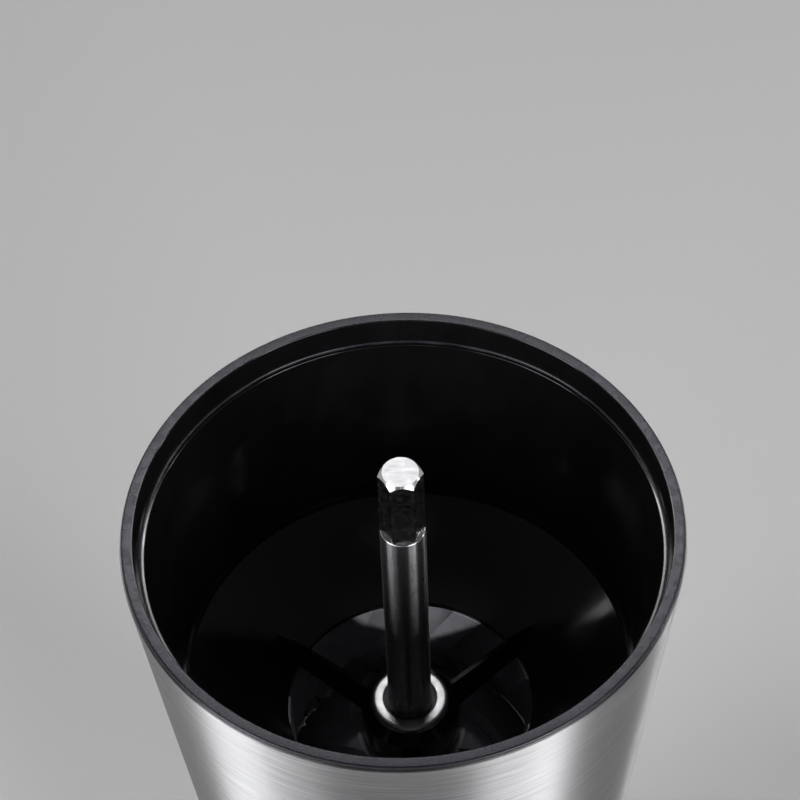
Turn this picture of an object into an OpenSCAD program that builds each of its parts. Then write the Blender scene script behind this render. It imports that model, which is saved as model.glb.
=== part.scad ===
// Hand-cranked burr coffee grinder: a steel-clad hopper and burr head over a glass catch jar.
// The head stands open, with its lid and crank set down beside it. Millimetres, +Z up, and the
// origin is on the table under the middle of the jar.

/* [Rim and hopper] */
// Outer diameter of the rim
rim_d = 85; // [82:0.5:90]
// Width of the rim's flat top
rim_land = 1.8; // [1.6:0.1:2.2]
// Height of the rim ring above the ledge that it stands on
rim_h = 4.4; // [3:0.1:6]
// Height of the rim's lip above the steel's edge
lip_h = 0.8; // [0.6:0.1:1.5]
// Radius of the lip's outer edge
lip_round = 0.4; // [0.2:0.1:0.5]
// How far the rim's bore narrows on its way down to the ledge
rim_draft = 0.75; // [0.3:0.05:1]
// Width of the ledge inside the rim
ledge_w = 0.65; // [0.5:0.05:1.2]
// Height of the hopper's tapered wall
wall_h = 33; // [26:0.2:44]
// Thickness of the hopper's wall
wall_t = 1.6; // [1.2:0.1:1.8]
// Space between the hopper's wall and the steel, at the foot of the wall
wall_gap = 1.2; // [0.8:0.1:2]
// Step from the foot of the wall to the funnel floor
floor_step = 0.4; // [0.2:0.1:0.8]
// Height of the funnel floor
funnel_h = 11.6; // [9:0.2:16]
// Thickness of the funnel floor
funnel_t = 2.8; // [2:0.1:3.4]

/* [Steel shell] */
// Thickness of the steel
shell_t = 0.6; // [0.4:0.1:1]
// How far the steel's top edge stands out past the rim
shell_out = 0.25; // [0.1:0.05:0.6]

/* [Burrs] */
// Outer diameter of the ring burr
ring_d = 51; // [48:0.5:56]
// Height of the ring burr
ring_h = 22; // [20:0.5:26]
// Radius of the ring burr's mouth
ring_mouth_r = 19.6; // [18:0.2:21]
// Radius of the ring burr at its foot
ring_foot_r = 21.9; // [21:0.1:22.4]
// Number of coarse scoops round the ring burr
ring_scoops = 9; // [6:1:10]
// Number of fine teeth on each burr
fine_teeth = 36; // [24:1:40]
// Depth of the fine teeth
fine_depth = 0.9; // [0.6:0.1:1.1]
// Free space between the two burrs at the finest setting
burr_gap = 0.36; // [0.32:0.02:0.6]
// Height of the cone burr
cone_h = 16.8; // [15:0.2:18]
// Radius of the cone burr's top
cone_top_r = 8.8; // [8.4:0.1:10]
// Number of spiral flutes on the cone burr
cone_flutes = 6; // [5:1:8]
// Depth of the spiral flutes
flute_depth = 2.6; // [1.6:0.1:3]

/* [Drive shaft] */
// Diameter of the shaft above its bearing
shaft_d = 7; // [6:0.1:8]
// Diameter of the shaft below its bearing
spindle_d = 6; // [5:0.1:6.4]
// Width of the hexagon across its flats
hex_af = 6; // [5:0.1:6]
// Height of the shaft's tip above the rim
tip_h = 13.5; // [11:0.5:18]
// Length of the hexagon
hex_len = 13.8; // [12:0.2:16]
// Diameter of the flat on the shaft's tip
tip_flat_d = 5.5; // [4:0.1:5.6]
// Width across the two flats that turn the burr
drive_af = 5; // [4:0.1:5.4]
// Radius of the bearing boss
hub_r = 8; // [7.2:0.1:9]
// Height of the bearing boss
hub_h = 7.2; // [6:0.2:8]
// Radius of the bearing's flange
bush_flange_r = 5.95; // [5.5:0.05:6.6]
// Thickness of the bearing's flange
bush_flange_t = 1; // [0.8:0.1:1.6]
// Wall of the bearing's sleeve
bush_t = 1.5; // [1.2:0.1:1.8]
// Thickness of the three arms that carry the bearing
arm_t = 3.2; // [2.4:0.2:4.5]

/* [Grind adjuster] */
// Diameter of the adjusting wheel
wheel_d = 28; // [24:0.5:32]
// Height of the adjusting wheel
wheel_h = 9; // [8:0.5:11]
// Number of finger scallops round the wheel
wheel_grips = 14; // [10:1:18]
// Rise of the burr for each turn of the wheel
feed_pitch = 1; // [0.75:0.05:1.25]
// Largest turn of the wheel, in degrees
feed_turn = 300; // [180:10:330]
// Thickness of the spring's wire
wire_d = 1; // [0.8:0.05:1.1]
// Number of curls in the spring
spring_curls = 5; // [4:1:5]

/* [Waist] */
// Height of the chute below the ring burr
chute_h = 21; // [19:0.5:28]
// Thickness of the chute's wall
chute_t = 1.9; // [1.5:0.1:2.6]
// Thickness of the ring that clamps the burr
clamp_t = 3; // [2:0.2:4]
// Radius of the clamp screws
screw_r = 1.25; // [1:0.05:1.4]
// How far the collar stands out past the steel
collar_out = 0.7; // [0.3:0.1:1.5]
// Thickness of the collar's wall
collar_t = 3.4; // [2.6:0.1:4]
// Thickness of the collar's inner flange
flange_t = 5.9; // [4:0.1:8]
// Height of the collar's skirt below its flange
skirt_h = 13.6; // [11:0.2:14]
// Thickness of the jar's seal
seal_t = 2; // [1.4:0.1:3]

/* [Jar] */
// Height of the glass
jar_h = 88; // [78:1:110]
// Diameter of the glass at its widest, near the table
base_d = 82; // [78:1:92]
// Thickness of the glass
glass_t = 3; // [2.4:0.1:3.6]
// Radius of the glass at the edge of its foot
foot_round = 5; // [4:0.5:7]
// Radius of the glass at its shoulder
shoulder_round = 4; // [3:0.5:5]
// Room for the thread between the neck and the collar
thread_room = 1.6; // [1.4:0.1:2]
// Height of the neck
neck_h = 13; // [12.6:0.2:15]
// Thickness of the pad under the glass
pad_t = 2; // [1.5:0.1:4]

/* [Lid and crank] */
// Thickness of the lid
lid_t = 2.2; // [1.8:0.1:2.8]
// Rise of the lid's dome
dome_h = 4.2; // [3:0.2:7]
// Reach of the crank, from the shaft to the knob
crank_len = 80; // [70:1:100]
// Thickness of the crank's arm
bar_t = 2.5; // [2:0.1:4]
// Radius of the arm's end over the hub
bar_hub_r = 10; // [9:0.5:12]
// Radius of the arm's end under the knob
bar_knob_r = 7.5; // [7:0.5:9]
// Radius of the crank's hub
crank_hub_r = 9.2; // [8.6:0.1:11]
// Height of the crank's hub above the lid
crank_hub_h = 15; // [14:0.5:20]
// Radius of the knob
knob_r = 12.5; // [11:0.5:15]
// Radius of the knob's neck
knob_neck_r = 7; // [6.5:0.1:8]
// Radius of the pin that the knob turns on
knob_pin_r = 3; // [2.5:0.1:3.4]

/* [Hidden] */
$fn = 96;

// Clearances: between fixed pieces, in running fits, between faces that turn, and for loose seats
fit_gap = 0.15;
run_gap = 0.05;
face_gap = 0.1;
seat_gap = 0.3;
// How far a cutting shape runs past the face that it cuts
over = 1;
// How far joined shapes of one piece run into each other
sink = 0.5;

// Heights, from the table up
jar_z = pad_t;
mouth_z = jar_z + jar_h;
seal_z = mouth_z + face_gap;
flange_z = seal_z + seal_t;
waist_z = flange_z + flange_t;
burr_z = waist_z + chute_h;
ring_top_z = burr_z + ring_h;
wall_z = ring_top_z + funnel_h;
ledge_z = wall_z + wall_h;
rim_z = ledge_z + rim_h;
steel_z = rim_z - lip_h;
collar_z = flange_z - skirt_h;

// Radii round the burrs, from the ring burr out to the steel
ring_r = ring_d / 2;
pocket_r = ring_r + fit_gap;
pocket_t = 2.4;
screw_head_r = 1.9 * screw_r;
screw_out = 1.9;
screw_ring_r = pocket_r + screw_out;
screw_len = 9;
boss_wall_r = 2.4 * screw_r;
boss_h = 12;
clamp_r = screw_ring_r + screw_head_r + seat_gap;
chute_r = clamp_r + seat_gap;
chute_out_r = chute_r + chute_t;
waist_r = chute_out_r + fit_gap + shell_t;
function shell_r(z) =
    waist_r + (rim_d / 2 + shell_out - waist_r) * (z - waist_z) / (steel_z - waist_z);
function shell_in(z) = shell_r(z) - shell_t;
function inside_shell(z) = shell_in(z) - fit_gap;

// Hopper
rim_in_r = rim_d / 2 - rim_land;
rim_chamfer = 0.3;
rim_foot_r = rim_in_r - rim_draft;
ledge_r = rim_foot_r - ledge_w;
wall_foot_r = shell_in(wall_z) - wall_gap - wall_t;
liner_flange_t = 2;
floor_r = wall_foot_r - floor_step;
floor_lip_h = 0.8;
throat_h = 1;
throat_r = ring_mouth_r + seat_gap;
function funnel_z(r) = ring_top_z + throat_h
    + (r - throat_r) * (funnel_h - floor_lip_h - throat_h) / (floor_r - throat_r);
housing_flange_t = 2.6;

// Bearing and shaft, all on the grinder's axis
shaft_r = shaft_d / 2;
spindle_r = spindle_d / 2;
hub_out = 1.4;
hub_top_z = ring_top_z + hub_out;
hub_z = hub_top_z - hub_h;
bush_z = hub_top_z + bush_flange_t;
bush_r = shaft_r + run_gap + bush_t;
bush_shoulder_z = hub_z + hub_h / 2;
bush_chamfer = 0.7;
bush_sink = 0.85;
hub_chamfer = 1.6;
tip_z = rim_z + tip_h;
hex_corner_r = hex_af / 2 / cos(30);
hex_turn = 2;
tip_slope = 1.2;
thread_relief = 0.1;
thread_r = spindle_r - thread_relief;

// Three arms carry the bearing, three lugs hold each burr, and three screws stand between the arms
arm_from = 30;
screw_from = 90;

// Shape of the teeth: the two sides of a groove, and how the grooves lie on the burrs
groove_lead = 0.85;
groove_trail = 0.65;
fine_w = 1.5;
fine_skew = 24;
fine_run_in = 2;
flute_w = 4.4;
flute_skew = 34;
flute_lean = -7;
scoop_r = 4.2;
scoop_inset = 1.8;
scoop_skew = 24;
scoop_lean = 13;

// Burr parts, from the ring burr's foot: the cone burr hangs lower by the feed and its own drop
ring_neck = 1;
ring_waist_z = burr_z + 0.55 * ring_h;
ring_waist_r = ring_mouth_r - ring_neck;
feed = feed_pitch * feed_turn / 360;
cone_drop = 1;
cone_z = burr_z - feed - cone_drop;
cone_top_z = cone_z + cone_h;
cone_foot_r = ring_foot_r - burr_gap - feed * (ring_foot_r - ring_waist_r) / (ring_waist_z - burr_z);
cone_band_h = 4;
cone_band_in = 0.55;
cone_band_r = cone_foot_r - cone_band_in;
cone_edge = 0.6;
bore_r = 6.1;
spring_bore_r = 6.8;
carrier_h = 8.6;
carrier_top_z = cone_z + carrier_h;
carrier_flange_t = 3;
carrier_flange_r = 13.5;
carrier_foot_h = 1;
carrier_foot_z = cone_z - carrier_flange_t - carrier_foot_h;
lug_w = 3.6;
lug_h = 1.8;
lug_end_r = carrier_flange_r - over;

// Adjuster and the parts on the spindle
wheel_r = wheel_d / 2;
wheel_top_z = carrier_foot_z - face_gap;
wheel_z = wheel_top_z - wheel_h;
nut_r = 5.6;
nut_h = 5;
clip_t = 0.7;
clip_room = 0.5;
clip_rim = 2;
clip_z = wheel_z - clip_t - clip_room;
spindle_end = 1;
spindle_z = clip_z - spindle_end;
grip_r = 2.2;
washer_t = 0.5;
washer_z = hub_z - face_gap - washer_t;
spring_r = 5.3;
spring_z = carrier_top_z + face_gap;
spring_len = washer_z - face_gap - spring_z;

// Collar, jar and foot
collar_r = waist_r + collar_out;
collar_in_r = collar_r - collar_t;
spigot_h = 4;
spigot_t = 1.6;
neck_r = collar_in_r - thread_room;
jar_mouth_r = neck_r - glass_t;
mouth_lap = 1.2;
chute_mouth_r = jar_mouth_r + mouth_lap;
base_r = base_d / 2;
shoulder_z = mouth_z - neck_h;
shoulder_out = 1;
shoulder_r = collar_r + shoulder_out;
pad_inset = 1;

// Lid and crank, on their own axis beside the grinder
lid_room = 5;
lid_x = rim_d / 2 + shell_out + crank_len + knob_r + lid_room;
plug_h = rim_h - seat_gap;
plug_r = rim_foot_r - seat_gap;
plug_t = 2;
lid_inset = 0.1;
lid_r = rim_d / 2 - lid_inset;
lid_edge_t = 1.8;
boss_r = 11;
dome_z = plug_h + lid_edge_t + dome_h;
bush_in_r = 6.05;
bush_out_r = 8;
bush_rim_r = 10.5;
bush_rim_t = 1;
bush_len = 5.8;
bush_foot_z = dome_z - bush_len;
spigot_r = bush_in_r - run_gap;
hub_foot_z = 1.2;
crank_hub_z = dome_z + bush_rim_t + face_gap;
crank_top_z = crank_hub_z + crank_hub_h;
hub_clip_t = 0.8;
hub_clip_z = bush_foot_z - face_gap - hub_clip_t;
hub_clip_r = 8;
groove_depth = 0.9;
socket_af = hex_af + 2 * fit_gap;
socket_room = 1;
socket_z = plug_h + tip_h + socket_room;
collet_lap = 0.6;
collet_z = plug_h + tip_h - hex_len + collet_lap;
bar_boss_w = 8;
bolt_r = 2;
bolt_head_r = 6.2;
bolt_head_h = 2.6;
bolt_len = 7.5;
bar_z = crank_top_z;
knob_z = bar_z + bar_t;
pin_tail_r = 2.4;
rivet_r = 4.2;
rivet_h = 1.2;
pin_washer_t = 0.6;
knob_h = 1.95 * knob_r;
knob_belly = 0.55;
knob_steps = 10;
knob_foot_z = knob_z + pin_washer_t + 2 * face_gap;
pin_head_r = 4.6;
pin_head_h = 2;
cap_r = 6;
cap_t = 1.4;
cap_room = 0.6;
pin_top_z = knob_foot_z + knob_h - cap_t - cap_room;

// Points along an arc, for profiles with round corners
function arc(x, y, r, from, to, steps = 10) =
    [for (i = [0:steps]) let (a = from + (to - from) * i / steps) [x + r * cos(a), y + r * sin(a)]];

// A ring or disc from its profile in radius and height
module turned(profile) {
    rotate_extrude() polygon(profile);
}

// A plain tube between two heights
module tube(inner, outer, low, high) {
    turned([[inner, low], [outer, low], [outer, high], [inner, high]]);
}

// A solid round bar between two heights
module bar(r, low, high) {
    translate([0, 0, low]) cylinder(r = r, h = high - low);
}

// Copies spaced evenly round the axis
module around(count, first = 0) {
    for (i = [0:count - 1]) rotate(first + 360 * i / count) children();
}

// A straight groove cut along a slope that falls from one radius and height to another
module groove(r1, z1, r2, z2, depth, width, skew, lean = 0) {
    along = atan2(r2 - r1, z2 - z1);
    length = norm([r2 - r1, z2 - z1]) + 4 * over;
    translate([(r1 + r2) / 2, 0, (z1 + z2) / 2])
        rotate([0, along + lean, 0])
        rotate([skew, 0, 0])
        linear_extrude(length, center = true)
        polygon([[depth, 0], [-width / 2, width * groove_lead], [-width / 2, -width * groove_trail]]);
}

module base_pad() {
    color("#18191b")
    cylinder(r = base_r - foot_round - pad_inset, h = pad_t);
}

// Slope of the jar's side, and the centre of the round at its foot
jar_side = atan((base_r - shoulder_r) / (shoulder_z - jar_z - foot_round));
foot_x = base_r - foot_round;
shoulder_x = shoulder_r - shoulder_round;

module jar() {
    inner_foot = foot_round - glass_t / 2;
    inner_foot_x = foot_x - glass_t + foot_round - inner_foot;
    outer_shoulder = arc(shoulder_x, shoulder_z - shoulder_round, shoulder_round, -jar_side, 90);
    inner_shoulder = arc(shoulder_x - glass_t, shoulder_z - shoulder_round, shoulder_round, 90, 0);
    color("#dfe8ea", 0.4)
    turned(concat(
        [[0, jar_z]],
        arc(foot_x, jar_z + foot_round, foot_round, -90, 0),
        outer_shoulder,
        [[neck_r, shoulder_z]],
        arc(neck_r - glass_t / 2, mouth_z - glass_t / 2, glass_t / 2, 0, 180, 12),
        [[jar_mouth_r, shoulder_z - glass_t]],
        [for (p = inner_shoulder) if (p[0] > jar_mouth_r) [p[0], p[1] - glass_t]],
        arc(inner_foot_x, jar_z + glass_t + inner_foot, inner_foot, 0, -90),
        [[0, jar_z + glass_t]]
    ));
}

module jar_seal() {
    color("#2b2c2e")
    tube(chute_mouth_r, collar_in_r - fit_gap, seal_z, flange_z);
}

module waist_collar() {
    color("#121315")
    turned(concat(
        [[chute_mouth_r, flange_z], [collar_in_r, flange_z], [collar_in_r, collar_z]],
        arc(collar_r - lip_h, collar_z + lip_h, lip_h, -90, 0, 6),
        arc(collar_r - lip_h, waist_z - lip_h, lip_h, 0, 90, 6),
        [
            [chute_r - fit_gap, waist_z],
            [chute_r - fit_gap, waist_z + spigot_h],
            [chute_r - fit_gap - spigot_t, waist_z + spigot_h],
            [chute_mouth_r, waist_z]
        ]
    ));
}

// One arm: a plate on edge, under a pitched top that lets the beans slide off
module bearing_arm() {
    root_r = hub_r - over;
    end_r = throat_r + hub_r;
    root_z = hub_top_z - hub_chamfer - sink;
    end_z = funnel_z(end_r) - over;
    pitch = atan2(end_z - root_z, end_r - root_r);
    intersection() {
        rotate([90, 0, 0])
            linear_extrude(arm_t, center = true)
            polygon([
                [root_r, hub_z + sink],
                [throat_r - sink, ring_top_z + face_gap],
                [throat_r + sink, ring_top_z + face_gap],
                [end_r, end_z - sink],
                [end_r, end_z + over],
                [root_r, root_z + over]
            ]);
        translate([root_r, 0, root_z])
            rotate([0, 90 - pitch, 0])
            linear_extrude(2 * end_r, center = true)
            polygon([[0, 0], [arm_t, arm_t], [2 * hub_h, arm_t], [2 * hub_h, -arm_t], [arm_t, -arm_t]]);
    }
}

module burr_housing() {
    flange_low_z = wall_z - housing_flange_t;
    color("#0d0e10")
    difference() {
        union() {
            turned([
                [floor_r, wall_z],
                [floor_r, wall_z - floor_lip_h],
                [throat_r, funnel_z(throat_r)],
                [throat_r, ring_top_z],
                [pocket_r - sink, ring_top_z],
                [pocket_r - sink, burr_z],
                [chute_r, burr_z],
                [chute_r, waist_z],
                [chute_out_r, waist_z],
                [chute_out_r, burr_z + pocket_t],
                [pocket_r + pocket_t, burr_z + pocket_t],
                [pocket_r + pocket_t, funnel_z(pocket_r + pocket_t) - funnel_t],
                [floor_r, wall_z - floor_lip_h - funnel_t],
                [inside_shell(flange_low_z), flange_low_z],
                [inside_shell(wall_z), wall_z]
            ]);
            turned([
                [bush_r, hub_z],
                [hub_r, hub_z],
                [hub_r, hub_top_z - hub_chamfer],
                [hub_r - hub_chamfer, hub_top_z],
                [bush_r, hub_top_z]
            ]);
            around(3, arm_from) bearing_arm();
            around(3, screw_from) translate([screw_ring_r, 0, burr_z + sink])
                cylinder(r = boss_wall_r, h = boss_h);
        }
        tube(pocket_r - 2 * over, pocket_r, burr_z - over, ring_top_z);
        around(3, screw_from) translate([screw_ring_r, 0, burr_z - over])
            cylinder(r = screw_r, h = screw_len + over);
    }
}

module steel_shell() {
    color("#b9bcbf")
    turned([
        [shell_in(waist_z), waist_z],
        [shell_r(waist_z), waist_z],
        [shell_r(steel_z), steel_z],
        [shell_in(steel_z), steel_z]
    ]);
}

module hopper_liner() {
    flange_low_z = ledge_z - liner_flange_t;
    flange_foot_r = ledge_r + wall_t - (ledge_r - wall_foot_r) * liner_flange_t / wall_h;
    color("#08090a")
    turned([
        [wall_foot_r, wall_z],
        [wall_foot_r + wall_t, wall_z],
        [flange_foot_r, flange_low_z],
        [inside_shell(flange_low_z), flange_low_z],
        [inside_shell(ledge_z), ledge_z],
        [ledge_r, ledge_z]
    ]);
}

module rim_ring() {
    color("#2c2f35")
    turned(concat(
        [[rim_foot_r, ledge_z], [inside_shell(ledge_z), ledge_z], [inside_shell(steel_z), steel_z]],
        [[rim_d / 2, steel_z]],
        arc(rim_d / 2 - lip_round, rim_z - lip_round, lip_round, 0, 90, 6),
        [[rim_in_r + rim_chamfer, rim_z], [rim_in_r, rim_z - rim_chamfer]]
    ));
}

module shaft_bush() {
    color("#c9cbcd")
    turned([
        [spindle_r + run_gap, hub_z],
        [bush_r, hub_z],
        [bush_r, hub_top_z],
        [bush_flange_r, hub_top_z],
        [bush_flange_r, bush_z - bush_chamfer],
        [bush_flange_r - bush_chamfer, bush_z],
        [shaft_r + run_gap + bush_sink, bush_z],
        [shaft_r + run_gap, bush_z - bush_sink],
        [shaft_r + run_gap, bush_shoulder_z],
        [spindle_r + run_gap, bush_shoulder_z]
    ]);
}

module ring_burr() {
    color("#e4e3e6")
    difference() {
        turned([
            [ring_foot_r, burr_z],
            [ring_r, burr_z],
            [ring_r, ring_top_z],
            [ring_mouth_r, ring_top_z],
            [ring_waist_r, ring_waist_z]
        ]);
        // Coarse scoops that draw the beans in, fading out at the waist
        around(ring_scoops)
            translate([ring_mouth_r - scoop_inset, 0, ring_top_z])
            rotate([scoop_skew, scoop_lean, 0])
            cylinder(r = scoop_r, h = 2 * ring_h, center = true);
        // Fine teeth below the waist
        around(fine_teeth)
            mirror([1, 0, 0])
            groove(
                -ring_waist_r, ring_waist_z - fine_run_in, -ring_foot_r, burr_z,
                fine_depth, fine_w, fine_skew
            );
        // Slots that the clamp's lugs hold
        around(3, arm_from) translate([ring_r - lug_h, -lug_w / 2 - fit_gap, burr_z - over])
            cube([2 * lug_h, lug_w + 2 * fit_gap, lug_h + fit_gap + over]);
    }
}

module burr_clamp() {
    color("#141517")
    difference() {
        union() {
            tube(ring_foot_r + seat_gap, clamp_r, burr_z - clamp_t, burr_z);
            around(3, arm_from) translate([ring_r - lug_h + fit_gap, -lug_w / 2, burr_z - sink])
                cube([lug_h - fit_gap, lug_w, lug_h + sink]);
        }
        around(3, screw_from) translate([screw_ring_r, 0, burr_z - clamp_t - over])
            cylinder(r = screw_r + fit_gap, h = clamp_t + 2 * over);
    }
}

module clamp_screws() {
    color("#a9acb0")
    around(3, screw_from) translate([screw_ring_r, 0, burr_z - clamp_t]) {
        cylinder(r = screw_r, h = screw_len);
        mirror([0, 0, 1]) cylinder(r1 = screw_head_r, r2 = screw_r, h = screw_r);
    }
}

module drive_shaft() {
    hex_z = tip_z - hex_len;
    tip_chamfer = (hex_corner_r - tip_flat_d / 2) * tip_slope;
    color("#3a3c40")
    difference() {
        union() {
            intersection() {
                translate([0, 0, hex_z - sink])
                    rotate(hex_turn)
                    cylinder(r = hex_corner_r, h = hex_len + sink, $fn = 6);
                turned([
                    [0, hex_z - sink],
                    [shaft_r, hex_z - sink],
                    [shaft_r, tip_z - tip_chamfer - (shaft_r - hex_corner_r)],
                    [tip_flat_d / 2, tip_z],
                    [0, tip_z]
                ]);
            }
            turned([
                [0, spindle_z],
                [thread_r, spindle_z],
                [thread_r, carrier_foot_z],
                [spindle_r, carrier_foot_z],
                [spindle_r, bush_shoulder_z + face_gap],
                [shaft_r, bush_shoulder_z + face_gap],
                [shaft_r, hex_z],
                [0, hex_z]
            ]);
        }
        // Two flats that turn the burr carrier
        for (side = [-1, 1])
            translate([-spindle_d, side * (drive_af / 2 + spindle_r) - spindle_r, carrier_foot_z])
            cube([2 * spindle_d, spindle_d, carrier_top_z - carrier_foot_z + over]);
        tube(thread_r - groove_depth, spindle_d, clip_z - run_gap, clip_z + clip_t + run_gap);
    }
}

module end_clip() {
    color("#6f7276")
    difference() {
        tube(thread_r - groove_depth + run_gap, thread_r + clip_rim, clip_z, clip_z + clip_t);
        translate([0, -thread_r / 2, clip_z - over])
            cube([2 * spindle_d, thread_r, clip_t + 2 * over]);
    }
}

module spring_washer() {
    color("#b4b7ba")
    tube(spindle_r + run_gap, spring_r + wire_d, washer_z, washer_z + washer_t);
}

// The spring's wire: its middle line, and a ring of points round one place on it
curl_rings = 8;
curl_skip = 6;
spring_steps = curl_rings * spring_curls;
spring_sides = 6;
spring_rise = spring_len - wire_d;
function coil(i) = let (a = 360 * i / curl_rings)
    [spring_r * cos(a), spring_r * sin(a), spring_z + wire_d / 2 + spring_rise * i / spring_steps];
function coil_ring(i) = let (a = 360 * i / curl_rings, c = coil(i))
    [for (s = [0:spring_sides - 1]) let (b = 360 * s / spring_sides)
        c + wire_d / 2 * [cos(b) * cos(a), cos(b) * sin(a), sin(b)]];
spring_gap = min([
    for (i = [0:spring_steps], j = [i + curl_skip:spring_steps]) norm(coil(i) - coil(j))
]) - wire_d;
echo(least_gap_between_spring_curls = spring_gap);

module burr_spring() {
    points = [for (i = [0:spring_steps]) each coil_ring(i)];
    last = spring_steps * spring_sides;
    sides = [for (i = [0:spring_steps - 1], s = [0:spring_sides - 1])
        let (a = i * spring_sides + s, b = i * spring_sides + (s + 1) % spring_sides)
        each [[a, a + spring_sides, b], [b, a + spring_sides, b + spring_sides]]];
    ends = [for (s = [1:spring_sides - 2]) each [[0, s, s + 1], [last, last + s + 1, last + s]]];
    color("#c4c6c8")
    polyhedron(points, concat(sides, ends));
}

module cone_burr() {
    band_z = cone_z + cone_edge + cone_band_h;
    color("#ecebed")
    difference() {
        turned([
            [bore_r, cone_z],
            [cone_foot_r - cone_edge, cone_z],
            [cone_foot_r, cone_z + cone_edge],
            [cone_band_r, band_z],
            [cone_top_r, cone_top_z],
            [spring_bore_r, cone_top_z],
            [spring_bore_r, carrier_top_z],
            [bore_r, carrier_top_z]
        ]);
        // Spiral flutes, deepest at the top
        around(cone_flutes)
            groove(
                cone_top_r, cone_top_z, cone_band_r, band_z,
                flute_depth, flute_w, flute_skew, flute_lean
            );
        // Fine teeth round the foot
        around(fine_teeth)
            groove(cone_band_r, band_z + over, cone_foot_r, cone_z, fine_depth, fine_w, fine_skew);
        // Slots that the carrier's lugs drive
        around(3) translate([0, -lug_w / 2 - fit_gap, cone_z - over])
            cube([lug_end_r + fit_gap, lug_w + 2 * fit_gap, lug_h + fit_gap + over]);
    }
}

module burr_carrier() {
    color("#1b1c1f")
    difference() {
        union() {
            bar(bore_r - fit_gap, carrier_foot_z, carrier_top_z);
            bar(carrier_flange_r, cone_z - carrier_flange_t, cone_z);
            around(3) translate([bore_r - over, -lug_w / 2, cone_z - sink])
                cube([lug_end_r - bore_r + over, lug_w, lug_h + sink]);
        }
        intersection() {
            bar(spindle_r + run_gap, carrier_foot_z - over, carrier_top_z + over);
            translate([-spindle_d, -drive_af / 2 - run_gap, carrier_foot_z - over])
                cube([2 * spindle_d, drive_af + 2 * run_gap, carrier_top_z - carrier_foot_z + 2 * over]);
        }
    }
}

module adjuster_wheel() {
    color("#17181a")
    difference() {
        bar(wheel_r, wheel_z, wheel_top_z);
        around(wheel_grips) translate([wheel_r + grip_r / 3, 0, wheel_z - over])
            cylinder(r = grip_r, h = wheel_h + 2 * over);
        translate([0, 0, wheel_z - over]) cylinder(r = nut_r + fit_gap, h = nut_h + over, $fn = 6);
        bar(spindle_r + seat_gap, wheel_z, wheel_top_z + over);
    }
}

module adjuster_nut() {
    color("#b99a55")
    difference() {
        translate([0, 0, wheel_z]) cylinder(r = nut_r, h = nut_h, $fn = 6);
        bar(thread_r + run_gap, wheel_z - over, wheel_z + nut_h + over);
    }
}

// Lid and crank stand on their own axis, with the arm pointing to the front
module beside() {
    translate([lid_x, 0, 0]) rotate(-90) children();
}

module lid() {
    top_r = lid_r - lid_edge_t;
    dome_from = plug_h + lid_edge_t;
    dome_span = top_r - boss_r;
    dome_radius = (dome_span * dome_span + dome_h * dome_h) / (2 * dome_h);
    dome_angle = asin(dome_span / dome_radius);
    inner_angle = acos((plug_r - plug_t - boss_r) / dome_radius);
    color("#1a1b1e")
    beside()
    turned(concat(
        [[plug_r - plug_t, 0], [plug_r, 0], [plug_r, plug_h], [lid_r, plug_h]],
        arc(lid_r - lid_edge_t, plug_h, lid_edge_t, 0, 90, 8),
        arc(boss_r, dome_z - dome_radius, dome_radius, 90 - dome_angle, 90, 10),
        [[bush_out_r, dome_z], [bush_out_r, bush_foot_z], [boss_r, bush_foot_z]],
        arc(boss_r, dome_z - dome_radius - lid_t, dome_radius, 90, inner_angle, 10)
    ));
}

module lid_bush() {
    color("#d9d9d4")
    beside()
    union() {
        tube(bush_in_r, bush_out_r, bush_foot_z, dome_z + sink);
        tube(bush_in_r, bush_rim_r, dome_z, dome_z + bush_rim_t);
    }
}

module hub_clip() {
    color("#6f7276")
    beside()
    difference() {
        tube(spigot_r - groove_depth + run_gap, hub_clip_r, hub_clip_z, hub_clip_z + hub_clip_t);
        translate([0, -spigot_r / 2, hub_clip_z - over])
            cube([2 * spigot_r, spigot_r, hub_clip_t + 2 * over]);
    }
}

module crank_hub() {
    color("#8c8f94")
    beside()
    difference() {
        union() {
            bar(spigot_r, hub_foot_z, crank_hub_z + sink);
            bar(crank_hub_r, crank_hub_z, crank_top_z);
            translate([-bar_boss_w / 2, -bar_boss_w / 2, crank_top_z - sink])
                cube([bar_boss_w, bar_boss_w, bar_t + sink - face_gap]);
        }
        translate([0, 0, hub_foot_z - over])
            cylinder(r = socket_af / 2 / cos(30), h = socket_z - hub_foot_z + over, $fn = 6);
        bar(shaft_r + seat_gap, hub_foot_z - over, collet_z);
        bar(bolt_r, crank_top_z + bar_t - bolt_len, crank_top_z + bar_t + over);
        tube(
            spigot_r - groove_depth, 2 * spigot_r,
            hub_clip_z - run_gap, hub_clip_z + hub_clip_t + run_gap
        );
    }
}

module crank_arm() {
    lean = asin((bar_hub_r - bar_knob_r) / crank_len);
    color("#c2c4c7")
    beside()
    translate([0, 0, bar_z])
    difference() {
        linear_extrude(bar_t)
            polygon(concat(
                arc(0, 0, bar_hub_r, 90 - lean, 270 + lean, 24),
                arc(crank_len, 0, bar_knob_r, lean - 90, 90 - lean, 20)
            ));
        translate([-bar_boss_w / 2 - fit_gap, -bar_boss_w / 2 - fit_gap, -over])
            cube([bar_boss_w + 2 * fit_gap, bar_boss_w + 2 * fit_gap, bar_t + 2 * over]);
        translate([crank_len, 0, -over]) cylinder(r = pin_tail_r, h = bar_t + 2 * over);
    }
}

module arm_screw() {
    head_z = bar_z + bar_t;
    head_round = bolt_head_h / 2;
    color("#9b9ea2")
    beside()
    union() {
        bar(bolt_r - run_gap, head_z - bolt_len + sink, head_z + sink);
        turned(concat(
            [[0, head_z], [bolt_head_r, head_z]],
            arc(bolt_head_r - head_round, head_z + head_round, head_round, 0, 90, 6),
            [[0, head_z + bolt_head_h]]
        ));
    }
}

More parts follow.
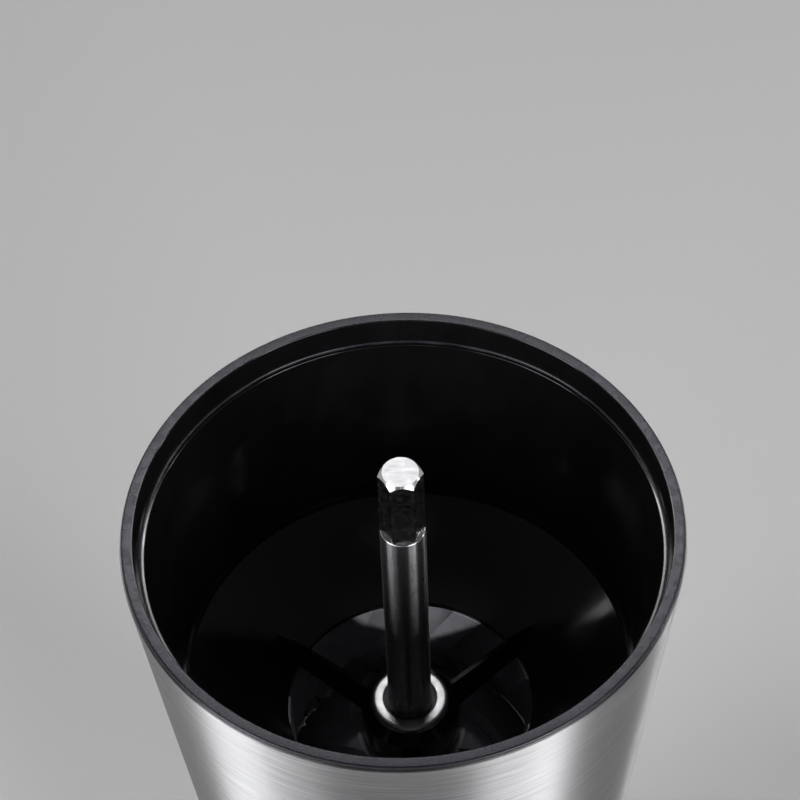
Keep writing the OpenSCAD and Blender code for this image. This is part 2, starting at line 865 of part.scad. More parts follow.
// The knob's parts stand at the end of the arm
module at_knob() {
    beside() translate([crank_len, 0, 0]) children();
}

module knob_pin() {
    color("#a5a8ac")
    at_knob()
    turned([
        [0, bar_z - rivet_h],
        [rivet_r, bar_z - rivet_h],
        [rivet_r, bar_z],
        [pin_tail_r, bar_z],
        [pin_tail_r, knob_z],
        [knob_pin_r, knob_z],
        [knob_pin_r, pin_top_z - pin_head_h],
        [pin_head_r, pin_top_z - pin_head_h],
        [pin_head_r, pin_top_z],
        [0, pin_top_z]
    ]);
}

module pin_washer() {
    color("#b4b7ba")
    at_knob()
    tube(knob_pin_r + run_gap, knob_neck_r - sink, knob_z, knob_z + pin_washer_t);
}

module knob() {
    belly_z = knob_foot_z + knob_belly * knob_h;
    crown_h = knob_h - knob_belly * knob_h;
    head_z = pin_top_z - pin_head_h - face_gap;
    top_z = knob_foot_z + knob_h;
    color("#151618")
    at_knob()
    turned(concat(
        [[knob_pin_r + run_gap, knob_foot_z], [knob_neck_r, knob_foot_z]],
        [for (i = [0:knob_steps]) let (share = i / knob_steps)
            [knob_neck_r + (knob_r - knob_neck_r) * sin(90 * share),
            knob_foot_z + over + (belly_z - knob_foot_z - over) * share]],
        [for (i = [1:knob_steps - 1]) let (a = 90 * i / knob_steps)
            [cap_r + over + (knob_r - cap_r - over) * cos(a), belly_z + crown_h * sin(a)]],
        [
            [cap_r + over, top_z],
            [cap_r + fit_gap, top_z],
            [cap_r + fit_gap, top_z - cap_t],
            [pin_head_r + seat_gap, top_z - cap_t],
            [pin_head_r + seat_gap, head_z],
            [knob_pin_r + run_gap, head_z]
        ]
    ));
}

module knob_cap() {
    top_z = knob_foot_z + knob_h;
    color("#1f2022")
    at_knob()
    bar(cap_r, top_z - cap_t, top_z);
}

base_pad();
jar();
jar_seal();
waist_collar();
burr_housing();
steel_shell();
hopper_liner();
rim_ring();
shaft_bush();
ring_burr();
burr_clamp();
clamp_screws();
drive_shaft();
end_clip();
spring_washer();
burr_spring();
cone_burr();
burr_carrier();
adjuster_wheel();
adjuster_nut();
lid();
lid_bush();
hub_clip();
crank_hub();
crank_arm();
arm_screw();
knob_pin();
pin_washer();
knob();
knob_cap();
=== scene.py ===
# %% [markdown]
# # A hand-cranked coffee grinder, dressed for its picture
# The grinder was designed first as solids: thirty pieces, joined by real joints. This lesson
# loads that model as a fixed frame and gives it finer surfaces, finishes, light and a camera.
# Nothing is placed by eye, because each piece takes its place from the frame.

# %% Load the frame
import math
import bmesh
import bpy
from mathutils import Matrix, Vector


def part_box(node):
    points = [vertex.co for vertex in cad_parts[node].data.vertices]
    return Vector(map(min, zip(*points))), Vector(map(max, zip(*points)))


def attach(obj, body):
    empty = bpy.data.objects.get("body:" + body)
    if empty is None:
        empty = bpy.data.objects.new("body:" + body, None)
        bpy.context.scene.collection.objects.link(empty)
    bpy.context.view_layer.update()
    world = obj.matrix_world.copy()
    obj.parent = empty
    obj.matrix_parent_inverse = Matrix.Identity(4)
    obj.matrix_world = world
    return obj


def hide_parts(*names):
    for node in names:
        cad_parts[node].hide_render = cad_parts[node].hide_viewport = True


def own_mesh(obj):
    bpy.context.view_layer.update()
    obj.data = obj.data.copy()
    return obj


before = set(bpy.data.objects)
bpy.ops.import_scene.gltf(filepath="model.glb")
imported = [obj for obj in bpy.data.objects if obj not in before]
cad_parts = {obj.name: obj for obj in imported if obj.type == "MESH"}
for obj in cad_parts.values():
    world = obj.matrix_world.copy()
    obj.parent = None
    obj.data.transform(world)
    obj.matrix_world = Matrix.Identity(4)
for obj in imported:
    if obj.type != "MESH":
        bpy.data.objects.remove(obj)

MM = 0.001
scene = bpy.context.scene
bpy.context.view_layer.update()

# %% [markdown]
# ## Measuring the frame
# A finer piece has to sit exactly where its solid sits, so heights, radii and axes are read from
# the solids' boxes. Sizes inside a piece, such as a wall, are named values where they are used.

# %% Heights, radii and axes
def reach(node):
    """Lowest height, highest height and half width of a solid, in millimetres."""
    low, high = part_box(node)
    return low.z / MM, high.z / MM, (high.x - low.x) / 2 / MM


def axis_between(low, high):
    """Where the upright axis of a round solid stands, from its box, in millimetres."""
    return (low.x + high.x) / 2 / MM, (low.y + high.y) / 2 / MM


rim_foot, rim_top, rim_r = reach("rim_ring")
shaft_end, tip, _ = reach("drive_shaft")
_, ring_top, _ = reach("ring_burr")
grinder_axis = (0.0, 0.0)
lid_axis = axis_between(*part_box("lid"))
knob_axis = axis_between(*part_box("knob"))
print(f"rim {2 * rim_r:.1f} mm across at {rim_top:.1f} mm, lid axis at {lid_axis[0]:.2f} mm")

# %% [markdown]
# ## The camera's aim
# The picture looks down into the open hopper from the front, with a long lens. A camera object
# can be turned by hand until it fits, but here it is worked out: it stands on a line that rises
# from the middle of the rim, and is then turned until that middle lands on the right pixel.

# %% Aim at the rim
FRAME_PIXELS = 800
FOCAL_PIXELS = 3000
CAMERA_ELEVATION = math.radians(53.49)
CAMERA_DISTANCE = 451.5 * MM
CAMERA_ROLL = math.radians(-2.465)
RIM_MIDDLE_PIXEL = (402.6, 526.6)

rim_middle = Vector((0, 0, rim_top * MM))
rise = Vector((0, -math.cos(CAMERA_ELEVATION), math.sin(CAMERA_ELEVATION)))
straight = (-rise).to_track_quat("-Z", "Y")
rolled = straight @ Matrix.Rotation(CAMERA_ROLL, 3, "Z").to_quaternion()
to_pixel = Vector((
    (RIM_MIDDLE_PIXEL[0] - FRAME_PIXELS / 2) / FOCAL_PIXELS,
    (FRAME_PIXELS / 2 - RIM_MIDDLE_PIXEL[1]) / FOCAL_PIXELS,
    -1,
))
aimed = rolled @ Vector((0, 0, -1)).rotation_difference(to_pixel).inverted()
print(f"camera: {math.degrees(CAMERA_ELEVATION):.1f} degrees above the rim")

# %% [markdown]
# ## The camera
# Blender takes a lens in millimetres for a sensor of a given width. The fitted lens is in pixels,
# so it is scaled to that width.

# %% Camera
SENSOR_WIDTH = 36
lens = bpy.data.cameras.new("camera")
lens.sensor_width = SENSOR_WIDTH
lens.lens = FOCAL_PIXELS / FRAME_PIXELS * SENSOR_WIDTH
lens.clip_start = 0.01
camera = bpy.data.objects.new("camera", lens)
scene.collection.objects.link(camera)
camera.location = rim_middle + CAMERA_DISTANCE * rise
camera.rotation_mode = "QUATERNION"
camera.rotation_quaternion = aimed
scene.camera = camera
print(f"camera: {lens.lens:.0f} mm lens, {CAMERA_DISTANCE / MM:.0f} mm from the rim")

# %% [markdown]
# ## Placing lamps
# A lamp's place is easiest to think of as a direction: how far round the grinder, and how high.
# One helper turns that into a place and aims the lamp back at its target. A panel is an area lamp
# whose strength is the brightness of its face, because that is what shiny metal mirrors. A beam
# is a spot lamp with a very narrow cone.

# %% Lamp helpers
BEAM_SPREAD = math.radians(1.5)
BEAM_DISTANCE = 0.5
SMALL_LENS = 0.004


def stand(lamp, azimuth, elevation, distance, target):
    """Puts a lamp before a target, facing it. Azimuth 0 is the viewer's side, 90 is the right."""
    a, e = math.radians(azimuth), math.radians(elevation)
    away = Vector((math.sin(a) * math.cos(e), -math.cos(a) * math.cos(e), math.sin(e)))
    stood = bpy.data.objects.new(lamp.name, lamp)
    scene.collection.objects.link(stood)
    stood.location = target + distance * away
    stood.rotation_mode = "QUATERNION"
    stood.rotation_quaternion = (-away).to_track_quat("-Z", "Y")
    stood.visible_camera = False


def panel(name, azimuth, elevation, distance, width, height, radiance):
    """A soft rectangular lamp that faces the rim. Lengths are in metres."""
    lamp = bpy.data.lights.new(name, "AREA")
    lamp.shape = "RECTANGLE"
    lamp.size = width
    lamp.size_y = height
    lamp.energy = radiance * math.pi * width * height
    stand(lamp, azimuth, elevation, distance, rim_middle)


def snoot(name, azimuth, elevation, target, energy, lens_r=SMALL_LENS):
    """A narrow beam, about a centimetre wide where it lands."""
    lamp = bpy.data.lights.new(name, "SPOT")
    lamp.energy = energy
    lamp.spot_size = BEAM_SPREAD
    lamp.spot_blend = 0.5
    lamp.shadow_soft_size = lens_r
    stand(lamp, azimuth, elevation, BEAM_DISTANCE, target)


# %% [markdown]
# ## The panels
# What one sees on steel is the light around it. A panel on each side of the viewer, with a weaker
# one beside it, draws the two pale bands on the shell and the two thin lines on the shaft. The
# panel at the back stands where the rim's flat top and the shaft's end mirror it, and the strip
# across its middle draws the fine line on the hopper's ledge. The other strips are narrow lights
# for the edges of the shell and the gloss inside the hopper.

# %% Panels
# Name, azimuth, elevation, distance, width, height and radiance.
panel("left_panel", -59, 16, 0.9, 0.34, 0.55, 8.0)
panel("left_fill", -39, 16, 0.9, 0.26, 0.55, 2.4)
panel("right_panel", 45, 16, 0.9, 0.17, 0.55, 10.6)
panel("right_fill", 30, 16, 0.9, 0.26, 0.55, 5.4)
panel("back_panel", 180, 53.5, 1.0, 0.42, 0.12, 4.0)
panel("back_strip", 180, 53.3, 1.0, 0.42, 0.028, 15.0)
panel("right_strip", 97, 14, 0.9, 0.045, 0.45, 16.0)
panel("left_strip", -112, 31, 0.9, 0.05, 0.2, 1.8)
panel("back_right_strip", 138, 38, 0.9, 0.08, 0.24, 8.0)
panel("back_left_strip", -138, 38, 0.9, 0.08, 0.24, 5.0)
scene.view_settings.view_transform = "Standard"
print("panels:", len(bpy.data.lights))

# %% [markdown]
# ## The small beams
# Two beams pass the shaft on either side and light the back of the burr. They are narrow, so they
# leave a pale crescent there and the rest of the throat dark. Two more, with a wider lens and so
# with softer light, touch the shaft's tip and the shoulder of its hexagon.

# %% Beams
WIDE_LENS = 0.04
SHAFT_R = 3.5
HEX_LENGTH = 13.8
BURR_SPOT_DROP = 1.5
TIP_SPOT_DROP = 0.5
SHOULDER_SPOT_R = 3.4
burr_spot = ring_top - BURR_SPOT_DROP
snoot("right_snoot", 20, 45.6, Vector((7.8, 17.2, burr_spot)) * MM, 5.5)
snoot("left_snoot", -20, 43.8, Vector((-5.6, 18.0, burr_spot)) * MM, 3.2)
snoot("tip_snoot", -4, 28, Vector((0, 0, tip - TIP_SPOT_DROP)) * MM, 0.13, WIDE_LENS)
shoulder_spot = Vector((0, -SHOULDER_SPOT_R, tip - HEX_LENGTH)) * MM
snoot("shoulder_snoot", -4, 28, shoulder_spot, 1.2, WIDE_LENS)
print("lights:", len(bpy.data.lights))

# %% [markdown]
# ## The room
# The room is pale near the horizon and dark overhead, so black gloss stays black from above. An
# image of a room would do as well, but a ramp over the direction's height needs no file.

# %% Room
PALE = (0.5, 0.5, 0.505)
DIM = (0.075, 0.075, 0.078)
DARK = (0.028, 0.028, 0.03)


def tree_of(owner):
    """The nodes and the links of a world or a material."""
    return owner.node_tree.nodes, owner.node_tree.links


world = bpy.data.worlds.new("studio")
scene.world = world
world.use_nodes = True
nodes, links = tree_of(world)
height = nodes.new("ShaderNodeSeparateXYZ")
room = nodes.new("ShaderNodeValToRGB")
room.color_ramp.elements[0].color = (*PALE, 1)
room.color_ramp.elements[1].color = (*DARK, 1)
for position, shade in ((0.2, PALE), (0.55, DIM)):
    room.color_ramp.elements.new(position).color = (*shade, 1)
links.new(nodes.new("ShaderNodeTexCoord").outputs["Generated"], height.inputs["Vector"])
links.new(height.outputs["Z"], room.inputs["Fac"])
links.new(room.outputs["Color"], nodes["Background"].inputs["Color"])
print("room: shades at", [round(e.position, 2) for e in room.color_ramp.elements])

# %% [markdown]
# ## The floor
# The floor is one large disc, a hair under the foot pad, so that the two faces never meet.

# %% Floor disc
FLOOR_R = 6.0
FLOOR_DROP = 0.2


def move(bm, x, y, z):
    """Moves a whole shape. Lengths are in millimetres."""
    bmesh.ops.translate(bm, verts=bm.verts, vec=(x * MM, y * MM, z * MM))


def as_mesh(name, bm):
    """Turns a finished shape into a mesh."""
    mesh = bpy.data.meshes.new(name)
    bm.to_mesh(mesh)
    bm.free()
    return mesh


bm = bmesh.new()
bmesh.ops.create_circle(bm, cap_ends=True, segments=96, radius=FLOOR_R)
move(bm, 0, 0, -FLOOR_DROP)
floor_mesh = as_mesh("floor", bm)
floor = bpy.data.objects.new("floor", floor_mesh)
scene.collection.objects.link(floor)
print("floor:", [round(v, 1) for v in floor.dimensions], "m")

# %% [markdown]
# ## The floor's paint
# Close to the grinder the floor is plain paint, which keeps the shadow. Further out it fades into
# the pale of the room. Only rays from the camera, a mirror or the glass see that pale, because it
# must not light the grinder. The Light Path node tells them apart.

# %% Paint and the rays that see the pale
FLOOR_SHADE = 0.72
paint = bpy.data.materials.new("floor_paint")
paint.use_nodes = True
nodes, links = tree_of(paint)
plain = nodes["Principled BSDF"]
plain.inputs["Base Color"].default_value = (FLOOR_SHADE, FLOOR_SHADE, FLOOR_SHADE, 1)
plain.inputs["Roughness"].default_value = 0.75
surround = nodes.new("ShaderNodeEmission")
surround.inputs["Color"].default_value = (*PALE, 1)
ray = nodes.new("ShaderNodeLightPath")
mirrored = nodes.new("ShaderNodeMath")
seen = nodes.new("ShaderNodeMath")
mirrored.operation = seen.operation = "MAXIMUM"
links.new(ray.outputs["Is Glossy Ray"], mirrored.inputs[0])
links.new(ray.outputs["Is Transmission Ray"], mirrored.inputs[1])
links.new(ray.outputs["Is Camera Ray"], seen.inputs[0])
links.new(mirrored.outputs["Value"], seen.inputs[1])
floor_mesh.materials.append(paint)
print("floor paint:", paint.name, "shade", FLOOR_SHADE)

# %% [markdown]
# ## The floor's fade
# The fade is a smooth step over the distance from the grinder, and it ends long before the floor
# does. Multiplied by what the last cell made, it says how much of the pale a ray sees.

# %% Fade into the room
FADE_START = 0.3
FADE_END = 0.62


def set_range(step, ends, low, high):
    """Sets two ends of a Map Range node: ends is From or To."""
    step.inputs[f"{ends} Min"].default_value = low
    step.inputs[f"{ends} Max"].default_value = high


away = nodes.new("ShaderNodeVectorMath")
away.operation = "LENGTH"
fade = nodes.new("ShaderNodeMapRange")
fade.interpolation_type = "SMOOTHSTEP"
set_range(fade, "From", FADE_START, FADE_END)
share = nodes.new("ShaderNodeMath")
share.operation = "MULTIPLY"
blend = nodes.new("ShaderNodeMixShader")
links.new(nodes.new("ShaderNodeTexCoord").outputs["Object"], away.inputs[0])
links.new(away.outputs["Value"], fade.inputs["Value"])
links.new(fade.outputs["Result"], share.inputs[0])
links.new(seen.outputs["Value"], share.inputs[1])
links.new(share.outputs["Value"], blend.inputs["Fac"])
links.new(plain.outputs["BSDF"], blend.inputs[1])
links.new(surround.outputs["Emission"], blend.inputs[2])
links.new(blend.outputs["Shader"], nodes["Material Output"].inputs["Surface"])
print("floor fades from", FADE_START, "to", FADE_END, "m")

# %% [markdown]
# ## Grain
# No finish is quite even. A noise texture gives the disorder, on Object coordinates, because those
# stay with a piece when it moves. Stretched along one axis the noise becomes brushing.

# %% Noise
def grain(finish, waves, detail):
    """Noise on Object coordinates: waves to a metre, as one number or one for each axis."""
    nodes, links = tree_of(finish)
    place = nodes.new("ShaderNodeMapping")
    place.inputs["Scale"].default_value = waves if isinstance(waves, tuple) else (waves,) * 3
    noise = nodes.new("ShaderNodeTexNoise")
    noise.inputs["Scale"].default_value = 1.0
    noise.inputs["Detail"].default_value = detail
    links.new(nodes.new("ShaderNodeTexCoord").outputs["Object"], place.inputs["Vector"])
    links.new(place.outputs["Vector"], noise.inputs["Vector"])
    return noise.outputs["Fac"]


# %% [markdown]
# ## Using the grain
# Most values of a noise lie near the middle of its range, so that part is stretched over the two
# values or colours that one asks for. Fed to a Bump node, the noise becomes a fine relief that no
# mesh has to carry.

# %% Ranges and bump
NOISE_LOW = 0.3
NOISE_HIGH = 0.7


def vary(finish, socket, noise, low, high):
    """Drives a socket of the shader between two values, or two colours, by a noise."""
    nodes, links = tree_of(finish)
    target = nodes["Principled BSDF"].inputs[socket]
    if isinstance(low, tuple):
        step = nodes.new("ShaderNodeValToRGB")
        first, last = step.color_ramp.elements
        first.position = NOISE_LOW
        last.position = NOISE_HIGH
        first.color = (*low, 1)
        last.color = (*high, 1)
        links.new(noise, step.inputs["Fac"])
        links.new(step.outputs["Color"], target)
    else:
        step = nodes.new("ShaderNodeMapRange")
        set_range(step, "From", NOISE_LOW, NOISE_HIGH)
        set_range(step, "To", low, high)
        links.new(noise, step.inputs["Value"])
        links.new(step.outputs["Result"], target)


def emboss(finish, noise, depth, strength):
    """Raises the surface by a noise, as bump. Depth is in millimetres."""
    nodes, links = tree_of(finish)
    bump = nodes.new("ShaderNodeBump")
    bump.inputs["Strength"].default_value = strength
    bump.inputs["Distance"].default_value = depth * MM
    links.new(noise, bump.inputs["Height"])
    links.new(bump.outputs["Normal"], nodes["Principled BSDF"].inputs["Normal"])


# %% [markdown]
# ## A finish
# Most finishes here are a Principled shader with mottled colour, uneven sheen and fine relief, so
# one helper makes them all from the values that differ. Values that don't vary stay on the
# shader's own sockets.

# %% Finish
def new_finish(name, colour, roughness, mottle=None, sheen=None, relief=None, **sockets):
    """A finish. Mottle, sheen and relief each start with a grain's waves and detail. Then come two
    shades for mottle, two roughnesses for sheen, and depth and strength for relief."""
    made = bpy.data.materials.new(name)
    made.use_nodes = True
    shader = made.node_tree.nodes["Principled BSDF"]
    shader.inputs["Base Color"].default_value = (*colour, 1)
    shader.inputs["Roughness"].default_value = roughness
    for socket, value in sockets.items():
        shader.inputs[socket.replace("_", " ")].default_value = value
    if mottle:
        vary(made, "Base Color", grain(made, *mottle[:2]), *mottle[2:])
    if sheen:
        vary(made, "Roughness", grain(made, *sheen[:2]), *sheen[2:])
    if relief:
        emboss(made, grain(made, *relief[:2]), *relief[2:])
    return made


# %% [markdown]
# ## Worn edges
# Edges that hands and cloths rub turn lighter, in patches. They could be painted on, but a Bevel
# node finds them by itself: near an edge its normal leans away from the true one, so the smaller
# the dot product of the two is, the nearer the edge. A noise breaks the line up.

# %% Edge wear
EDGE_STARTS = 0.99
EDGE_FULL = 0.86
PATCH_STARTS = 0.38
PATCH_FULL = 0.66


def worn_edges(finish, width, colour, patches=300):
    """Blends a lighter colour in along the edges, in patches. Width is in millimetres."""
    nodes, links = tree_of(finish)
    base = nodes["Principled BSDF"].inputs["Base Color"]
    rounded = nodes.new("ShaderNodeBevel")
    rounded.inputs["Radius"].default_value = width * MM
    lean = nodes.new("ShaderNodeVectorMath")
    lean.operation = "DOT_PRODUCT"
    links.new(rounded.outputs["Normal"], lean.inputs[0])
    links.new(nodes.new("ShaderNodeNewGeometry").outputs["Normal"], lean.inputs[1])
    edge = nodes.new("ShaderNodeMapRange")
    set_range(edge, "From", EDGE_STARTS, EDGE_FULL)
    links.new(lean.outputs["Value"], edge.inputs["Value"])
    patch = nodes.new("ShaderNodeMapRange")
    set_range(patch, "From", PATCH_STARTS, PATCH_FULL)
    links.new(grain(finish, patches, 4.0), patch.inputs["Value"])
    worn = nodes.new("ShaderNodeMath")
    worn.operation = "MULTIPLY"
    links.new(edge.outputs["Result"], worn.inputs[0])
    links.new(patch.outputs["Result"], worn.inputs[1])
    blend = nodes.new("ShaderNodeMixRGB")
    links.new(worn.outputs["Value"], blend.inputs["Fac"])
    links.new(base.links[0].from_socket, blend.inputs["Color1"])
    blend.inputs["Color2"].default_value = (*colour, 1)
    links.new(blend.outputs["Color"], base)


# %% [markdown]
# ## Brushed and turned steel
# The shell is stainless sheet, brushed round its axis: the scratches are short along Z and long
# round the shell, so the noise is squeezed along Z. The shader's own anisotropy stretches the
# highlights across the scratches. The crank's arm is brushed along its length instead, and the
# hub keeps the fine rings of the lathe. Soft clouds keep the other metals from one even colour.

# %% Shell, arm and hub
ROUND_BRUSH = {"Metallic": 1.0, "Anisotropic": 1.0, "Anisotropic_Rotation": 0.25}
SCRATCHED_ROUND = ((90, 90, 5200), 4.0)
SCRATCHED_ALONG = ((5600, 50, 5600), 4.0)
LATHE_RINGS = ((40, 40, 4200), 3.0)
CLOUDS = (700, 3.0)
shell_steel = new_finish(
    "brushed_shell", (0.44, 0.44, 0.45), 0.5,
    mottle=(*SCRATCHED_ROUND, (0.32, 0.32, 0.325), (0.5, 0.5, 0.51)),
    sheen=((60, 60, 3000), 3.0, 0.42, 0.58), relief=(*SCRATCHED_ROUND, 0.02, 0.3), **ROUND_BRUSH,
)
arm_steel = new_finish(
    "brushed_arm", (0.56, 0.56, 0.57), 0.32,
    mottle=(*SCRATCHED_ALONG, (0.51, 0.51, 0.52), (0.61, 0.61, 0.62)),
    sheen=(*SCRATCHED_ALONG, 0.28, 0.38), relief=(*SCRATCHED_ALONG, 0.02, 0.16), Metallic=1.0,
)
hub_steel = new_finish(
    "turned_hub", (0.52, 0.52, 0.53), 0.3,
    mottle=(*CLOUDS, (0.47, 0.47, 0.48), (0.57, 0.57, 0.58)),
    sheen=(*LATHE_RINGS, 0.2, 0.4), relief=(*LATHE_RINGS, 0.02, 0.3), Metallic=1.0,
)
worn_edges(shell_steel, 0.25, (0.72, 0.72, 0.73))
worn_edges(arm_steel, 0.4, (0.8, 0.8, 0.81))
worn_edges(hub_steel, 0.4, (0.76, 0.76, 0.77))
print("finishes so far:", len(bpy.data.materials))

# %% [markdown]
# ## The shaft's three finishes
# The drive shaft is ground round its axis, which leaves fine scratches and a few pits. Its hexagon
# is milled and polished, and its end was faced on a lathe and is duller. Their colours also carry
# painted light: the bar is darker, a painted shade, and the hexagon and the end are lighter, a
# painted highlight. One finish for all three would make the end too dark or too bright.

# %% Ground, milled and faced steel, with painted shade and highlight
GROUND_PITS = ((2600, 2600, 1500), 3.0)
FINE_RELIEF = (2600, 2.0, 0.01, 0.1)
# Darker base colour on the bar: painted shade.
shaded_shaft_steel = new_finish(
    "ground_and_shaded_shaft", (0.42, 0.42, 0.44), 0.3,
    mottle=(*CLOUDS, (0.39, 0.39, 0.41), (0.45, 0.45, 0.47)),
    sheen=(*GROUND_PITS, 0.27, 0.31), relief=(*GROUND_PITS, 0.01, 0.05), **ROUND_BRUSH,
)
# Lighter base colour on the hexagon: painted highlight.
highlit_hexagon_steel = new_finish(
    "milled_and_highlit_hexagon", (0.6, 0.6, 0.61), 0.22,
    mottle=(*CLOUDS, (0.55, 0.55, 0.56), (0.65, 0.65, 0.66)),
    sheen=(1200, 3.0, 0.16, 0.28), relief=FINE_RELIEF, Metallic=1.0,
)
# Lighter base colour on the end than on the bar: painted highlight.
highlit_end_steel = new_finish(
    "faced_and_highlit_end", (0.53, 0.53, 0.54), 0.36,
    mottle=(*CLOUDS, (0.49, 0.49, 0.5), (0.57, 0.57, 0.58)),
    sheen=(1400, 3.0, 0.31, 0.41), relief=FINE_RELIEF, Metallic=1.0,
)
print("finishes so far:", len(bpy.data.materials))

# %% [markdown]
# ## The small fittings
# The bearing bush is sintered from metal powder, so its surface has pores. Screws and the knob's
# pin are plain bright steel, the spring and the clips are drawn wire and strip, and the adjuster's
# nut is brass, which runs well on a steel thread.

# %% Bush, bright steel, wire and brass
PORES = (2200, 3.0)
bush_metal = new_finish(
    "sintered_bush", (0.5, 0.5, 0.51), 0.34,
    mottle=(*CLOUDS, (0.46, 0.46, 0.47), (0.54, 0.54, 0.55)),
    sheen=(*PORES, 0.29, 0.4), relief=(*PORES, 0.02, 0.3), Metallic=1.0,
)
bright_steel = new_finish(
    "bright_fitting", (0.58, 0.58, 0.59), 0.2,
    mottle=(*CLOUDS, (0.53, 0.53, 0.54), (0.63, 0.63, 0.64)),
    sheen=(1500, 2.0, 0.12, 0.28), relief=FINE_RELIEF, Metallic=1.0,
)
spring_wire = new_finish(
    "drawn_wire", (0.5, 0.5, 0.52), 0.26,
    mottle=(*CLOUDS, (0.45, 0.45, 0.47), (0.55, 0.55, 0.57)),
    sheen=(900, 2.0, 0.18, 0.34), relief=FINE_RELIEF, Metallic=1.0,
)
nut_brass = new_finish(
    "turned_brass", (0.7, 0.5, 0.24), 0.3,
    mottle=(*CLOUDS, (0.6, 0.42, 0.19), (0.75, 0.55, 0.27)), relief=FINE_RELIEF, Metallic=1.0,
)
print("finishes so far:", len(bpy.data.materials))

# %% [markdown]
# ## Black mouldings
# The hopper's liner, the funnel and the knob's cap are glossy black mouldings. Rim, collar, lid and
# knob are satin, which comes from a finely etched mould: a fine relief with a rougher surface.
# What the rim mirrors is tinted a little blue.

# %% Gloss and satin
hopper_black = new_finish(
    "hopper_gloss", (0.0045, 0.0045, 0.005), 0.1,
    mottle=(300, 4.0, (0.004, 0.004, 0.0045), (0.0055, 0.0055, 0.006)),
    sheen=(160, 3.0, 0.07, 0.16), relief=(55, 1.0, 0.1, 0.08),
)
rim_satin = new_finish(
    "rim_satin", (0.01, 0.0105, 0.013), 0.27,
    mottle=(240, 4.0, (0.008, 0.0085, 0.0105), (0.012, 0.0125, 0.0155)),
    sheen=(500, 3.0, 0.23, 0.31), relief=(3800, 2.0, 0.03, 0.3),
    Specular_Tint=(0.88, 0.88, 1.0, 1),
)
moulded_satin = new_finish(
    "moulded_satin", (0.016, 0.0165, 0.018), 0.42,
    mottle=(900, 4.0, (0.014, 0.0145, 0.016), (0.019, 0.0195, 0.0215)),
    sheen=(700, 3.0, 0.4, 0.47), relief=(3000, 2.0, 0.04, 0.35),
)
cap_gloss = new_finish(
    "cap_gloss", (0.008, 0.008, 0.009), 0.14,
    mottle=(400, 4.0, (0.007, 0.007, 0.008), (0.0095, 0.0095, 0.0105)),
    sheen=(220, 3.0, 0.1, 0.2), relief=(900, 2.0, 0.01, 0.1),
)
worn_edges(rim_satin, 0.35, (0.06, 0.062, 0.068))
worn_edges(moulded_satin, 0.6, (0.06, 0.06, 0.062))
print("finishes so far:", len(bpy.data.materials))

# %% [markdown]
# ## Ceramic, white plastic, silicone and glass
# The burrs are fired ceramic with a dry, faintly mottled surface. Their grey is darker than the
# ceramic's own white, a painted shade that keeps the throat dark. The lid's bearing is a white
# plastic that needs no oil. Seal and foot pad are silicone, soft and dull. The jar is clear
# pressed glass, whose long, low waves bend what is seen through it.

# %% Burrs, bearing, silicone and glass
# The burrs' lavender-grey, darker than white ceramic, is painted shade for the throat.
shaded_burr_ceramic = new_finish(
    "shaded_burr_ceramic", (0.32, 0.322, 0.35), 0.5,
    mottle=(420, 5.0, (0.28, 0.282, 0.307), (0.36, 0.362, 0.393)),
    sheen=(420, 5.0, 0.42, 0.58), relief=(2400, 3.0, 0.03, 0.4),
)
bearing_white = new_finish(
    "bearing_white", (0.74, 0.73, 0.69), 0.4,
    mottle=(500, 4.0, (0.69, 0.68, 0.63), (0.77, 0.76, 0.73)),
    sheen=(600, 3.0, 0.34, 0.48), relief=(2200, 2.0, 0.02, 0.2),
)
seal_silicone = new_finish(
    "seal_silicone", (0.022, 0.022, 0.023), 0.62,
    mottle=(350, 4.0, (0.019, 0.019, 0.02), (0.027, 0.027, 0.028)),
    sheen=(700, 3.0, 0.55, 0.72), relief=(1800, 2.0, 0.04, 0.4),
)
jar_glass = new_finish(
    "jar_glass", (0.97, 0.99, 0.98), 0.0, relief=((38, 38, 24), 2.0, 0.4, 0.12),
    Transmission_Weight=1.0, IOR=1.5,
)
worn_edges(shaded_burr_ceramic, 0.4, (0.5, 0.5, 0.53), 900)
print("finishes:", len(bpy.data.materials))

# %% [markdown]
# ## Turned shapes
# Most pieces of a grinder are turned or moulded round one axis. A profile is drawn as a wire of a
# few corners, the corners are rounded with a vertex bevel while the wire is still flat, and a
# Spin makes the solid. Rounding before the spin is simpler than bevelling hundreds of edges
# after it. A profile with points on the axis stays open there, and the spin closes it.

# %% Profile and spin
SPIN_STEPS = 192
SMALL_SPIN_STEPS = 96
LEAST_SPIN_STEPS = 48
ROUND_STEPS = 5
LARGE_ROUND = 4
WELD = 1e-7


def wire(corners):
    """A profile from corners of (radius, height) or (radius, height, rounding), in millimetres."""
    bm = bmesh.new()
    points = [bm.verts.new((c[0] * MM, 0, c[1] * MM)) for c in corners]
    ends = list(zip(points, points[1:]))
    if all(c[0] > 0 for c in corners):
        ends.append((points[-1], points[0]))
    for pair in ends:
        bm.edges.new(pair)
    for point, corner in zip(points, corners):
        if len(corner) > 2:
            steps = ROUND_STEPS if corner[2] < LARGE_ROUND else 4 * ROUND_STEPS
            bmesh.ops.bevel(
                bm, geom=[point], offset=corner[2] * MM, offset_type="OFFSET", affect="VERTICES",
                segments=steps, profile=0.5, material=-1,
            )
    return bm


def turned(corners, axis=grinder_axis, steps=SPIN_STEPS):
    """A round piece, spun from its profile about an upright axis."""
    bm = wire(corners)
    bmesh.ops.spin(
        bm, geom=bm.verts[:] + bm.edges[:], cent=(0, 0, 0), axis=(0, 0, 1), angle=2 * math.pi,
        steps=steps, use_merge=True, use_duplicate=False,
    )
    bmesh.ops.remove_doubles(bm, verts=bm.verts, dist=WELD)
    bmesh.ops.recalc_face_normals(bm, faces=bm.faces)
    move(bm, *axis, 0)
    return bm


